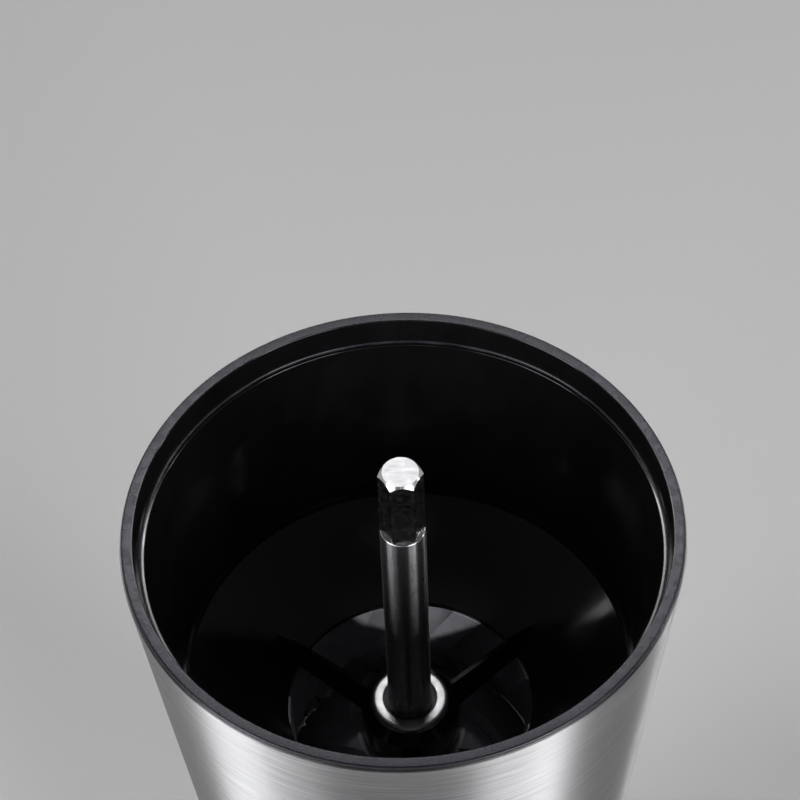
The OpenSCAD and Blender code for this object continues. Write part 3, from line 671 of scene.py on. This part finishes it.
# %% [markdown]
# ## From a shape to a piece
# A finished shape becomes an object that rides on one of the grinder's bodies and takes the place
# of its solid. It is shaded smooth except at sharp edges. Normals weighted by the faces' size
# keep flat faces flat beside small roundings, or a small Bevel modifier softens milled edges.

# %% Piece
SHARP_ANGLE = 32


def piece(name, bm, finish, body, slot, *nodes, sharp=SHARP_ANGLE, soften=0.0):
    """Makes a finished shape a piece of the grinder, riding on a body in place of its solids."""
    mesh = as_mesh(name, bm)
    mesh.polygons.foreach_set("use_smooth", [True] * len(mesh.polygons))
    mesh.set_sharp_from_angle(angle=math.radians(sharp))
    mesh.materials.append(finish)
    made = bpy.data.objects.new(name, mesh)
    scene.collection.objects.link(made)
    if soften:
        edge = made.modifiers.new("soft_edges", "BEVEL")
        edge.width = soften * MM
        edge.segments = 2
        edge.limit_method = "ANGLE"
        edge.angle_limit = math.radians(sharp)
        edge.harden_normals = True
    else:
        flat = made.modifiers.new("flat_faces", "WEIGHTED_NORMAL")
        flat.keep_sharp = True
    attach(made, body)
    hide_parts(*nodes)
    print(f"{name}: {len(mesh.polygons)} faces, for {', '.join(nodes)}")
    return made


# %% [markdown]
# ## Room inside the shell
# The shell is thin sheet, a cone six degrees off the upright. The rim and the liner sit inside it,
# so both need its radius at any height.

# %% Radii along the shell
SHELL_FOOT_R = 33.175
SHELL_SHEET = 0.6
FIT = 0.15
shell_foot, shell_top, shell_r = reach("steel_shell")


def shell_at(height):
    """Outer radius of the shell at a height."""
    wider = (shell_r - SHELL_FOOT_R) * (height - shell_foot) / (shell_top - shell_foot)
    return SHELL_FOOT_R + wider


def inside(height):
    """Radius that fits inside the shell at a height."""
    return shell_at(height) - SHELL_SHEET - FIT


print(f"shell: radius {SHELL_FOOT_R:.1f} to {shell_r:.1f} mm over {shell_top - shell_foot:.1f} mm")

# %% [markdown]
# ## The rim
# The rim is a moulded ring with a flat top 1.8 mm wide and a thin lip over the shell's edge. The
# lip is cut away below, so that a fine shadow parts it from the steel. The bore narrows a little
# towards its foot, because a moulding needs draft to leave its mould, and ends in a small round
# toe. The bore is as glossy as the liner: a second material on its faces needs no second piece.

# %% Rim
RIM_LAND = 1.8
RIM_DRAFT = 0.75
RIM_TOE = 0.26
TOE_HEIGHT = 0.05
BORE_EDGE = 0.16
LIP_UNDERCUT = 0.36
rim_bore = rim_r - RIM_LAND
rim_bore_foot = rim_bore - RIM_DRAFT
rim = piece("rim_band", turned([
    (rim_bore_foot - RIM_TOE, rim_foot + TOE_HEIGHT),
    (rim_bore_foot - RIM_TOE, rim_foot),
    (inside(rim_foot), rim_foot),
    (inside(shell_top), shell_top),
    (rim_r - LIP_UNDERCUT, shell_top),
    (rim_r, shell_top + LIP_UNDERCUT, 0.1),
    (rim_r, rim_top, 0.33),
    (rim_bore, rim_top, BORE_EDGE),
    (rim_bore_foot, rim_foot + TOE_HEIGHT, RIM_TOE),
]), rim_satin, "head", "black_satin", "rim_ring")
rim.data.materials.append(hopper_black)
for face in rim.data.polygons:
    out = math.hypot(face.center.x, face.center.y) / MM
    above_toe = face.center.z > (rim_foot + 2 * RIM_TOE) * MM
    face.material_index = out < rim_bore + BORE_EDGE and above_toe

# %% [markdown]
# ## The shell and the hopper
# The shell's cut edges are rounded just enough to be safe to touch. The liner is a tapered cup
# with a flange under the rim, and the part of the flange that shows inside the rim's bore is the
# ledge on which the lid's plug rests.

# %% Shell and liner
LINER_WALL = 1.6
WALL_GAP = 1.2
LINER_FLANGE = 2.0
LEDGE_WIDTH = 0.65
piece("shell_sleeve", turned([
    (SHELL_FOOT_R - SHELL_SHEET, shell_foot, 0.15),
    (SHELL_FOOT_R, shell_foot, 0.15),
    (shell_r, shell_top, 0.18),
    (shell_r - SHELL_SHEET, shell_top, 0.18),
]), shell_steel, "head", "brushed_steel", "steel_shell")

liner_foot, ledge, _ = reach("hopper_liner")
wall_foot_r = shell_at(liner_foot) - SHELL_SHEET - WALL_GAP - LINER_WALL
ledge_r = rim_bore_foot - LEDGE_WIDTH
wall_slope = (ledge_r - wall_foot_r) / (ledge - liner_foot)
piece("hopper_cup", turned([
    (wall_foot_r, liner_foot),
    (wall_foot_r + LINER_WALL, liner_foot),
    (ledge_r + LINER_WALL - wall_slope * LINER_FLANGE, ledge - LINER_FLANGE, 0.3),
    (inside(ledge - LINER_FLANGE), ledge - LINER_FLANGE),
    (inside(ledge), ledge),
    (ledge_r, ledge, 0.14),
]), hopper_black, "head", "black_gloss", "hopper_liner")

# %% [markdown]
# ## The bearing bush
# The shaft turns in a flanged bush that sits in the funnel's boss. Its mouth is countersunk, its
# bore is stepped like the shaft, and its round flange covers the boss's flat top.

# %% Bush
RUN = 0.05
BUSH_WALL = 1.5
BUSH_FLANGE = 1.0
BUSH_SINK_R = 4.4
BUSH_COVER = 0.45
SPINDLE_R = 3.0
bush_foot, bush_top, bush_flange_r = reach("shaft_bush")
bush_r = SHAFT_R + RUN + BUSH_WALL
bush_step = (bush_foot + bush_top - BUSH_FLANGE) / 2
piece("bearing_bush", turned([
    (SPINDLE_R + RUN, bush_foot),
    (bush_r, bush_foot),
    (bush_r, bush_top - BUSH_FLANGE),
    (bush_flange_r + BUSH_COVER, bush_top - BUSH_FLANGE, 0.1),
    (bush_flange_r + BUSH_COVER, bush_top, 0.85),
    (BUSH_SINK_R, bush_top, 0.1),
    (SHAFT_R + RUN, bush_top - BUSH_FLANGE),
    (SHAFT_R + RUN, bush_step),
    (SPINDLE_R + RUN, bush_step),
]), bush_metal, "head", "polished_steel", "shaft_bush")

# %% [markdown]
# ## Prisms
# A hexagon, a square and their sockets are prisms: a disc with few corners, extruded upwards.

# %% Prism
def hexagon_corner(across):
    """Corner radius of a hexagon, from its width across the flats."""
    return across / 2 / math.cos(math.radians(30))


def rotate(bm, angle, axis="Z"):
    """Rotates a whole shape about the origin. The angle is in radians."""
    bmesh.ops.rotate(bm, verts=bm.verts, matrix=Matrix.Rotation(angle, 3, axis))


def prism(sides, corner_r, low, high, turn=0.0, axis=grinder_axis):
    """An upright prism with its first corner at an angle of turn degrees."""
    bm = bmesh.new()
    bmesh.ops.create_circle(bm, cap_ends=True, segments=sides, radius=corner_r * MM)
    rotate(bm, math.radians(turn - 90))
    top = bmesh.ops.extrude_face_region(bm, geom=bm.faces[:], use_keep_orig=True)["geom"]
    raised = [g for g in top if isinstance(g, bmesh.types.BMVert)]
    bmesh.ops.translate(bm, verts=raised, vec=(0, 0, (high - low) * MM))
    move(bm, *axis, low)
    bmesh.ops.recalc_face_normals(bm, faces=bm.faces)
    return bm


# %% [markdown]
# ## Joining and cutting
# Two closed shapes are joined or cut with a Boolean modifier, applied at once. It can leave slivers
# where the two nearly touch, so points closer than a thousandth of a millimetre are merged. A
# cutter reaches past what it cuts, because faces that only touch give a ragged edge.

# %% Boolean
SLIVER = 0.001
OVERSHOOT = 1


def combined(first, second, how):
    """Joins or cuts two closed shapes: how is UNION, DIFFERENCE or INTERSECT."""
    pair = []
    for shape in (first, second):
        step = bpy.data.objects.new("boolean_step", as_mesh("boolean_step", shape))
        scene.collection.objects.link(step)
        pair.append(step)
    change = pair[0].modifiers.new("boolean", "BOOLEAN")
    change.operation = how
    change.solver = "EXACT"
    change.object = pair[1]
    result = bmesh.new()
    result.from_object(pair[0], bpy.context.evaluated_depsgraph_get())
    for step in pair:
        mesh = step.data
        bpy.data.objects.remove(step)
        bpy.data.meshes.remove(mesh)
    bmesh.ops.remove_doubles(result, verts=result.verts, dist=SLIVER * MM)
    bmesh.ops.dissolve_degenerate(result, dist=SLIVER * MM, edges=result.edges)
    return result


# %% [markdown]
# ## The shaft's hexagon
# A hexagon is milled on the top end of the shaft, for the crank. It is what a prism and a bar with
# a chamfered tip share, so its end shows the six scallops of a real one.

# %% Hexagon
HEX_CORNER_R = hexagon_corner(6)
HEX_TURN = 2
TIP_FLAT_R = 2.75
TIP_SLOPE = 1.2
hex_foot = tip - HEX_LENGTH
tip_chamfer = (HEX_CORNER_R - TIP_FLAT_R) * TIP_SLOPE + SHAFT_R - HEX_CORNER_R
chamfered_bar = turned([
    (0, hex_foot - OVERSHOOT),
    (SHAFT_R, hex_foot - OVERSHOOT),
    (SHAFT_R, tip - tip_chamfer),
    (TIP_FLAT_R, tip),
    (0, tip),
])
six_sides = prism(6, HEX_CORNER_R, hex_foot - 2 * OVERSHOOT, tip + OVERSHOOT, HEX_TURN)
hexagon = combined(chamfered_bar, six_sides, "INTERSECT")
print(f"hexagon: {HEX_LENGTH} mm long, {2 * HEX_CORNER_R:.2f} mm over its corners")

# %% [markdown]
# ## The drive shaft
# The shaft is one bar: round where it runs in the bush, thinner below it, with a groove for the
# clip at its foot. The shoulder under the hexagon is rounded, and a very small bevel makes each
# milled edge catch the light. Each face takes its finish from its height: the darker ground bar, a
# painted shade, then from the shoulder up the lighter milled steel, a painted highlight, and the
# faced end.

# %% Shaft
HEX_EDGE = 0.22
END_SKIN = 0.02
THREAD_R = 2.9
FACE = 0.1
CLIP_GROOVE = 0.9
carrier_foot, _, _ = reach("burr_carrier")
clip_low, clip_high, _ = reach("end_clip")
round_bar = turned([
    (0, shaft_end),
    (THREAD_R, shaft_end, 0.3),
    (THREAD_R, clip_low - RUN),
    (THREAD_R - CLIP_GROOVE, clip_low - RUN),
    (THREAD_R - CLIP_GROOVE, clip_high + RUN),
    (THREAD_R, clip_high + RUN),
    (THREAD_R, carrier_foot),
    (SPINDLE_R, carrier_foot),
    (SPINDLE_R, bush_step + FACE),
    (SHAFT_R, bush_step + FACE, 0.2),
    (SHAFT_R, hex_foot, HEX_EDGE),
    (0, hex_foot),
])
bar_and_hexagon = combined(round_bar, hexagon, "UNION")
shaft = piece("turned_shaft", bar_and_hexagon, shaded_shaft_steel, "shaft", "polished_steel",
              "drive_shaft", soften=0.05)
shaft.data.materials.append(highlit_hexagon_steel)
shaft.data.materials.append(highlit_end_steel)
# From the shoulder up the faces get the lighter steel, a painted highlight; the bar keeps the
# darker one, a painted shade.
finish_starts = (hex_foot - HEX_EDGE, tip - END_SKIN)
for face in shaft.data.polygons:
    face.material_index = sum(face.center.z > start * MM for start in finish_starts)

# %% [markdown]
# ## The spring under the bearing
# A small coil spring keeps the cone burr down on its adjuster. A ring of points spun with a lift
# at each step makes a coil, which a full turn with a merge could not. It shortens as the burr is
# raised.

# %% Coil spring
WIRE_R = 0.5
COIL_R = 5.3
CURLS = 5
CURL_STEPS = 40


def coil(bm, turns, rise, steps):
    """Spins a small closed loop upwards into a coil and closes its two ends."""
    bmesh.ops.spin(
        bm, geom=bm.verts[:] + bm.edges[:], cent=(0, 0, 0), axis=(0, 0, 1),
        angle=2 * math.pi * turns, dvec=(0, 0, rise * MM / steps), steps=steps,
        use_merge=False, use_duplicate=False,
    )
    bmesh.ops.holes_fill(bm, edges=[e for e in bm.edges if e.is_boundary], sides=0)
    bmesh.ops.recalc_face_normals(bm, faces=bm.faces)


spring_foot, spring_top, _ = reach("burr_spring")
bm = bmesh.new()
bmesh.ops.create_circle(bm, segments=14, radius=WIRE_R * MM)
rotate(bm, math.pi / 2, "X")
move(bm, COIL_R, 0, spring_foot + WIRE_R)
coil(bm, CURLS, spring_top - spring_foot - 2 * WIRE_R, CURLS * CURL_STEPS)
spring = piece("coil_spring", bm, spring_wire, "shaft", "spring_steel", "burr_spring")
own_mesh(spring)

# %% [markdown]
# ## A thread
# A thread is a small ridge, spun with a lift, and then joined to a neck. It reaches a little into
# the neck's wall, so that the two overlap and join cleanly. It also starts just past the spin's
# seam, because a Boolean fails most easily where two shapes share an edge.

# %% Thread
THREAD_ROOT = 0.4
THREAD_RIDGE = 2.0
THREAD_DEPTH = 0.65
THREAD_PITCH = 3.0
THREAD_TURNS = 1.75
THREAD_STEPS = 96
THREAD_START = math.radians(0.7)


def thread(radius, depth, foot):
    """A ridge of thread: depth is outwards if positive, inwards if negative."""
    root = radius - math.copysign(THREAD_ROOT, depth)
    bm = bmesh.new()
    points = [bm.verts.new((r * MM, 0, (foot + z) * MM)) for r, z in (
        (root, -THREAD_RIDGE / 2),
        (radius + depth, -THREAD_RIDGE / 8),
        (radius + depth, THREAD_RIDGE / 8),
        (root, THREAD_RIDGE / 2),
    )]
    for pair in zip(points, points[1:] + points[:1]):
        bm.edges.new(pair)
    coil(bm, THREAD_TURNS, THREAD_PITCH * THREAD_TURNS, round(THREAD_STEPS * THREAD_TURNS))
    rotate(bm, THREAD_START)
    return bm


print(f"thread: {THREAD_TURNS} turns at {THREAD_PITCH} mm")

# %% [markdown]
# ## The jar
# The jar is pressed glass, so it is one closed skin with an inside and an outside: glass needs
# both to bend light. Pressed glass has no sharp corner anywhere, so every corner is rounded. Its
# neck carries a ridge of thread.

# %% Jar
GLASS = 3.0
COLLAR_WALL = 3.4
THREAD_ROOM = 1.6
NECK_HEIGHT = 13.0
SHOULDER_OUT = 1.0
JAR_THREAD_DROP = 9.5
jar_foot, jar_top, jar_r = reach("jar")
collar_foot, collar_top, collar_r = reach("waist_collar")
collar_bore = collar_r - COLLAR_WALL
neck_r = collar_bore - THREAD_ROOM
shoulder = jar_top - NECK_HEIGHT
shoulder_r = collar_r + SHOULDER_OUT
jar_body = turned([
    (0, jar_foot),
    (jar_r + 0.3, jar_foot, 5),
    (shoulder_r, shoulder, 3.6),
    (neck_r, shoulder, 1.0),
    (neck_r, jar_top, 1.45),
    (neck_r - GLASS, jar_top, 1.45),
    (neck_r - GLASS, shoulder - GLASS, 1.5),
    (shoulder_r - GLASS, shoulder - GLASS, 2.8),
    (jar_r - GLASS + 0.1, jar_foot + GLASS, 3.4),
    (0, jar_foot + GLASS),
])
jar_thread = thread(neck_r, THREAD_DEPTH, jar_top - JAR_THREAD_DROP)
threaded_jar = combined(jar_body, jar_thread, "UNION")
piece("pressed_jar", threaded_jar, jar_glass, "jar_base", "clear_glass", "jar")

# %% [markdown]
# ## The waist collar
# The collar joins the head to the jar. Its spigot fits into the chute under the burrs, and the
# thread inside it fits above the jar's. Its edges are soft, because the hand grips it there.

# %% Collar
COLLAR_ROUND = 0.8
SPIGOT_WALL = 1.6
CHUTE_R = 30.525
MOUTH_R = 27.075
COLLAR_THREAD_RISE = 2.5
_, seal_high, _ = reach("jar_seal")
chute_low, _, _ = reach("burr_housing")
collar_body = turned([
    (MOUTH_R, seal_high),
    (collar_bore, seal_high, 0.3),
    (collar_bore, collar_foot, 0.4),
    (collar_r, collar_foot, COLLAR_ROUND),
    (collar_r, chute_low, COLLAR_ROUND),
    (CHUTE_R - FIT, chute_low),
    (CHUTE_R - FIT, collar_top, 0.3),
    (CHUTE_R - FIT - SPIGOT_WALL, collar_top, 0.3),
    (MOUTH_R, chute_low),
])
collar_thread = thread(collar_bore, -THREAD_DEPTH, collar_foot + COLLAR_THREAD_RISE)
threaded_collar = combined(collar_body, collar_thread, "UNION")
piece("moulded_collar", threaded_collar, moulded_satin, "head", "black_gloss", "waist_collar")

# %% [markdown]
# ## The foot pad
# A disc of silicone stops the jar from sliding. From below one would see the ring grooves that
# give it grip, so its underside is drawn with three of them.

# %% Foot pad
GROOVE_DEPTH = 0.6
GROOVE_WIDTH = 2.2
pad_low, pad_high, pad_r = reach("base_pad")
pad_corners = [(0, pad_low)]
for groove_r in (10, 18, 26):
    pad_corners += [
        (groove_r, pad_low, 0.2),
        (groove_r, pad_low + GROOVE_DEPTH),
        (groove_r + GROOVE_WIDTH, pad_low + GROOVE_DEPTH),
        (groove_r + GROOVE_WIDTH, pad_low, 0.2),
    ]
pad_corners += [(pad_r, pad_low, 0.6), (pad_r, pad_high, 0.2), (0, pad_high)]
piece("foot_pad", turned(pad_corners), seal_silicone, "jar_base", "silicone", "base_pad")

# %% [markdown]
# ## The clamp's screws
# Three small screws hold the ring burr's clamp from below. Each is turned from a profile with a
# rounded head, and its cross recess is cut by two crossed bars.

# %% Screws under the burr
SCREW_R = 1.25
SCREW_HEAD_R = 1.9 * SCREW_R
SCREW_RING_R = 27.55
RECESS = 0.8
RECESS_LENGTH = 2.4
RECESS_WIDTH = 0.5
RECESS_TURN = 20
screw_low, screw_high, _ = reach("clamp_screws")
clamp_foot, _, _ = reach("burr_clamp")


def clamp_screw(angle):
    """One screw, at an angle round the grinder."""
    at = (SCREW_RING_R * math.cos(angle), SCREW_RING_R * math.sin(angle))
    bm = turned([
        (0, screw_low),
        (SCREW_HEAD_R, screw_low, 0.9),
        (SCREW_HEAD_R, clamp_foot),
        (SCREW_R, clamp_foot),
        (SCREW_R, screw_high, 0.3),
        (0, screw_high),
    ], at, LEAST_SPIN_STEPS)
    for turn in (0, 90):
        cross = bmesh.new()
        bmesh.ops.create_cube(cross, size=MM)
        bmesh.ops.scale(cross, verts=cross.verts, vec=(RECESS_LENGTH, RECESS_WIDTH, 2 * RECESS))
        rotate(cross, angle + math.radians(turn + RECESS_TURN))
        move(cross, *at, screw_low)
        bm = combined(bm, cross, "DIFFERENCE")
    return bm


screws = bmesh.new()
for angle in (90, 210, 330):
    step = as_mesh("screw_step", clamp_screw(math.radians(angle)))
    screws.from_mesh(step)
    bpy.data.meshes.remove(step)
piece("pan_screws", screws, bright_steel, "head", "polished_steel", "clamp_screws")

# %% [markdown]
# ## The lid
# The lid is a shallow dome with a plug that drops into the rim. One large rounding of a single
# corner draws the whole dome, because a vertex bevel makes a true arc. The corner lies where the
# dome's first and last tangents meet, which the arc's rise and span give.

# %% Lid
PLUG_HEIGHT = 4.1
PLUG_R = 39.65
PLUG_WALL = 2.0
LID_WALL = 2.2
LID_EDGE = 1.8
BOSS_R = 11.0
LID_BUSH_OUT = 8.0
DOME_SHARE = 0.98
INNER_DOME_SHARE = 0.7
lid_foot, lid_top, lid_r = reach("lid")
lid_bush_low, lid_bush_high, lid_bush_r = reach("lid_bush")
dome_span = lid_r - LID_EDGE - BOSS_R
dome_rise = lid_top - PLUG_HEIGHT - LID_EDGE
dome_radius = (dome_span ** 2 + dome_rise ** 2) / (2 * dome_rise)
dome_angle = math.asin(dome_span / dome_radius)
dome_reach = dome_radius * math.tan(dome_angle / 2)
edge_height = lid_top - dome_rise - LID_EDGE * math.tan(dome_angle)
piece("domed_lid", turned([
    (PLUG_R - PLUG_WALL, lid_foot, 0.4),
    (PLUG_R, lid_foot, 0.5),
    (PLUG_R, PLUG_HEIGHT, 0.2),
    (lid_r, PLUG_HEIGHT, 0.3),
    (lid_r, edge_height, 0.95),
    (BOSS_R + dome_reach, lid_top, dome_reach * DOME_SHARE),
    (LID_BUSH_OUT, lid_top),
    (LID_BUSH_OUT, lid_bush_low),
    (BOSS_R, lid_bush_low, 0.3),
    (BOSS_R, lid_top - LID_WALL, 0.6),
    (BOSS_R + dome_reach, lid_top - LID_WALL, dome_reach * INNER_DOME_SHARE),
    (PLUG_R - PLUG_WALL, lid_foot + PLUG_HEIGHT + 0.3, 0.4),
], lid_axis), moulded_satin, "lid", "black_satin", "lid")

# %% [markdown]
# ## The lid's bearing
# A white bearing ring in the lid's middle carries the crank's hub. Its thin flange lies on top of
# the lid and is all that one sees of it.

# %% Lid bearing
LID_BUSH_IN = 6.05
piece("lid_bearing", turned([
    (LID_BUSH_IN, lid_bush_low, 0.3),
    (LID_BUSH_OUT, lid_bush_low, 0.3),
    (LID_BUSH_OUT, lid_top),
    (lid_bush_r, lid_top, 0.1),
    (lid_bush_r, lid_bush_high, 0.35),
    (LID_BUSH_IN, lid_bush_high, 0.3),
], lid_axis), bearing_white, "lid", "white_plastic", "lid_bush")

# %% [markdown]
# ## The crank's hub
# The hub turns in the lid's bearing. On top a square boss takes the crank's bar, so that it can't
# slip round, and below a hexagonal socket fits over the shaft. The square is joined to a turned
# body, and the hexagon is cut out of it.

# %% Hub
HUB_BOSS = 8.0
SOCKET_CORNER_R = hexagon_corner(6.3)
SOCKET_TOP = 18.6
SPIGOT_R = LID_BUSH_IN - RUN
hub_low, hub_high, hub_r = reach("crank_hub")
bar_low, bar_high, _ = reach("crank_arm")
hub_body = turned([
    (0, hub_low),
    (SPIGOT_R, hub_low, 0.4),
    (SPIGOT_R, lid_bush_high + FACE),
    (hub_r, lid_bush_high + FACE, 0.6),
    (hub_r, bar_low, 0.6),
    (0, bar_low),
], lid_axis)
hub_square = prism(4, HUB_BOSS / math.sqrt(2), bar_low - OVERSHOOT, hub_high, 45, lid_axis)
hub_socket = prism(6, SOCKET_CORNER_R, hub_low - OVERSHOOT, SOCKET_TOP, 30, lid_axis)
hub_body = combined(hub_body, hub_square, "UNION")
hub_body = combined(hub_body, hub_socket, "DIFFERENCE")
piece("turned_hub", hub_body, hub_steel, "crank", "brushed_steel", "crank_hub")

# %% [markdown]
# ## The crank's bar
# The bar is the hull of two discs, which gives straight sides that meet both round ends smoothly.
# Its edges are then bevelled round, because sheet of this thickness is tumbled until they are. A
# square hole fits the hub's boss, and a round one the pin of the knob.

# %% Bar
BAR_HUB_R = 10.0
BAR_KNOB_R = 7.5
BAR_ROUND = 0.7
PIN_TAIL_R = 2.4
bar = bmesh.new()
for (x, y), radius in ((lid_axis, BAR_HUB_R), (knob_axis, BAR_KNOB_R)):
    for height in (bar_low, bar_high):
        at = Matrix.Translation((x * MM, y * MM, height * MM))
        bmesh.ops.create_circle(bar, segments=72, radius=radius * MM, matrix=at)
hull = bmesh.ops.convex_hull(bar, input=bar.verts)
unused = [g for g in hull["geom_interior"] if isinstance(g, bmesh.types.BMVert)]
bmesh.ops.delete(bar, geom=unused, context="VERTS")
bmesh.ops.dissolve_limit(bar, angle_limit=math.radians(1), verts=bar.verts, edges=bar.edges)
bmesh.ops.recalc_face_normals(bar, faces=bar.faces)
rims = [e for e in bar.edges if e.calc_face_angle(0) > math.radians(60)]
bmesh.ops.bevel(
    bar, geom=rims, offset=BAR_ROUND * MM, offset_type="OFFSET", affect="EDGES",
    segments=ROUND_STEPS, profile=0.5, material=-1,
)
square_r = (HUB_BOSS / 2 + FIT) * math.sqrt(2)
square_hole = prism(4, square_r, bar_low - OVERSHOOT, bar_high + OVERSHOOT, 45, lid_axis)
pin_hole = prism(48, PIN_TAIL_R, bar_low - OVERSHOOT, bar_high + OVERSHOOT, 0, knob_axis)
bar = combined(bar, square_hole, "DIFFERENCE")
bar = combined(bar, pin_hole, "DIFFERENCE")
piece("crank_bar", bar, arm_steel, "crank", "brushed_steel", "crank_arm")

# %% [markdown]
# ## The bar's screw
# A cap screw goes down through the bar into the hub. Its head is domed, and a hexagonal recess
# takes the key.

# %% Cap screw
BOLT_SHANK_R = 1.95
KEY_CORNER_R = hexagon_corner(4)
KEY_DEPTH = 1.5
KEY_TURN = 15
bolt_low, bolt_high, bolt_r = reach("arm_screw")
bolt = turned([
    (0, bolt_low),
    (BOLT_SHANK_R, bolt_low, 0.4),
    (BOLT_SHANK_R, bar_high),
    (bolt_r, bar_high, 0.2),
    (bolt_r, bolt_high, 1.5),
    (0, bolt_high),
], lid_axis, SMALL_SPIN_STEPS)
key = prism(6, KEY_CORNER_R, bolt_high - KEY_DEPTH, bolt_high + OVERSHOOT, KEY_TURN, lid_axis)
bolt = combined(bolt, key, "DIFFERENCE")
piece("cap_screw", bolt, bright_steel, "crank", "polished_steel", "arm_screw")

# %% [markdown]
# ## The knob
# The knob swells from a narrow neck to a round crown that fills the hand. A few rings with a
# Subdivision Surface give such a soft form better than many exact ones, because every ring
# eases into the next. A thin cap closes its top.

# %% Knob and cap
KNOB_NECK_R = 7.0
KNOB_BORE_R = 3.05
knob_foot, knob_top, knob_r = reach("knob")
cap_low, cap_high, cap_r = reach("knob_cap")
knob_rise = knob_top - knob_foot
knob_piece = piece("turned_knob", turned([
    (KNOB_BORE_R, knob_foot),
    (KNOB_NECK_R - 0.7, knob_foot),
    (KNOB_NECK_R, knob_foot + 0.05 * knob_rise),
    (KNOB_NECK_R + 0.6, knob_foot + 0.16 * knob_rise),
    (knob_r - 2.3, knob_foot + 0.34 * knob_rise),
    (knob_r, knob_foot + 0.58 * knob_rise),
    (knob_r - 0.7, knob_foot + 0.8 * knob_rise),
    (cap_r + 2.9, knob_foot + 0.97 * knob_rise),
    (cap_r + 1.2, knob_top),
    (cap_r + 0.25, knob_top),
    (cap_r + 0.2, cap_low - 0.1),
    (KNOB_BORE_R, cap_low - 0.1),
], knob_axis, LEAST_SPIN_STEPS), moulded_satin, "knob", "black_satin", "knob", sharp=180)
knob_piece.modifiers.remove(knob_piece.modifiers["flat_faces"])
rounding = knob_piece.modifiers.new("soft_form", "SUBSURF")
rounding.levels = rounding.render_levels = 2

piece("knob_disc", turned([
    (0, cap_low),
    (cap_r, cap_low, 0.1),
    (cap_r, cap_high, 0.45),
    (0, cap_high),
], knob_axis, SMALL_SPIN_STEPS), cap_gloss, "knob", "black_gloss", "knob_cap")

# %% [markdown]
# ## Finishes for the solids that stay
# The burrs, the funnel and the small fittings have the right shape already, so their solids stay
# and only their finish changes. A solid's mesh is never touched: its material slot is enough.

# %% Dress the remaining solids
kept = {
    "burr_housing": hopper_black, "ring_burr": shaded_burr_ceramic, "cone_burr": shaded_burr_ceramic,
    "burr_clamp": moulded_satin, "burr_carrier": moulded_satin, "adjuster_wheel": moulded_satin,
    "adjuster_nut": nut_brass, "jar_seal": seal_silicone, "end_clip": spring_wire,
    "spring_washer": spring_wire, "hub_clip": spring_wire, "pin_washer": spring_wire,
    "knob_pin": bright_steel,
}
for node, finish in kept.items():
    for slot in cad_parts[node].material_slots:
        slot.material = finish
shown = [n for n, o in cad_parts.items() if not o.hide_render]
print("solids that stay:", len(kept), "undressed:", sorted(set(shown) - set(kept)))
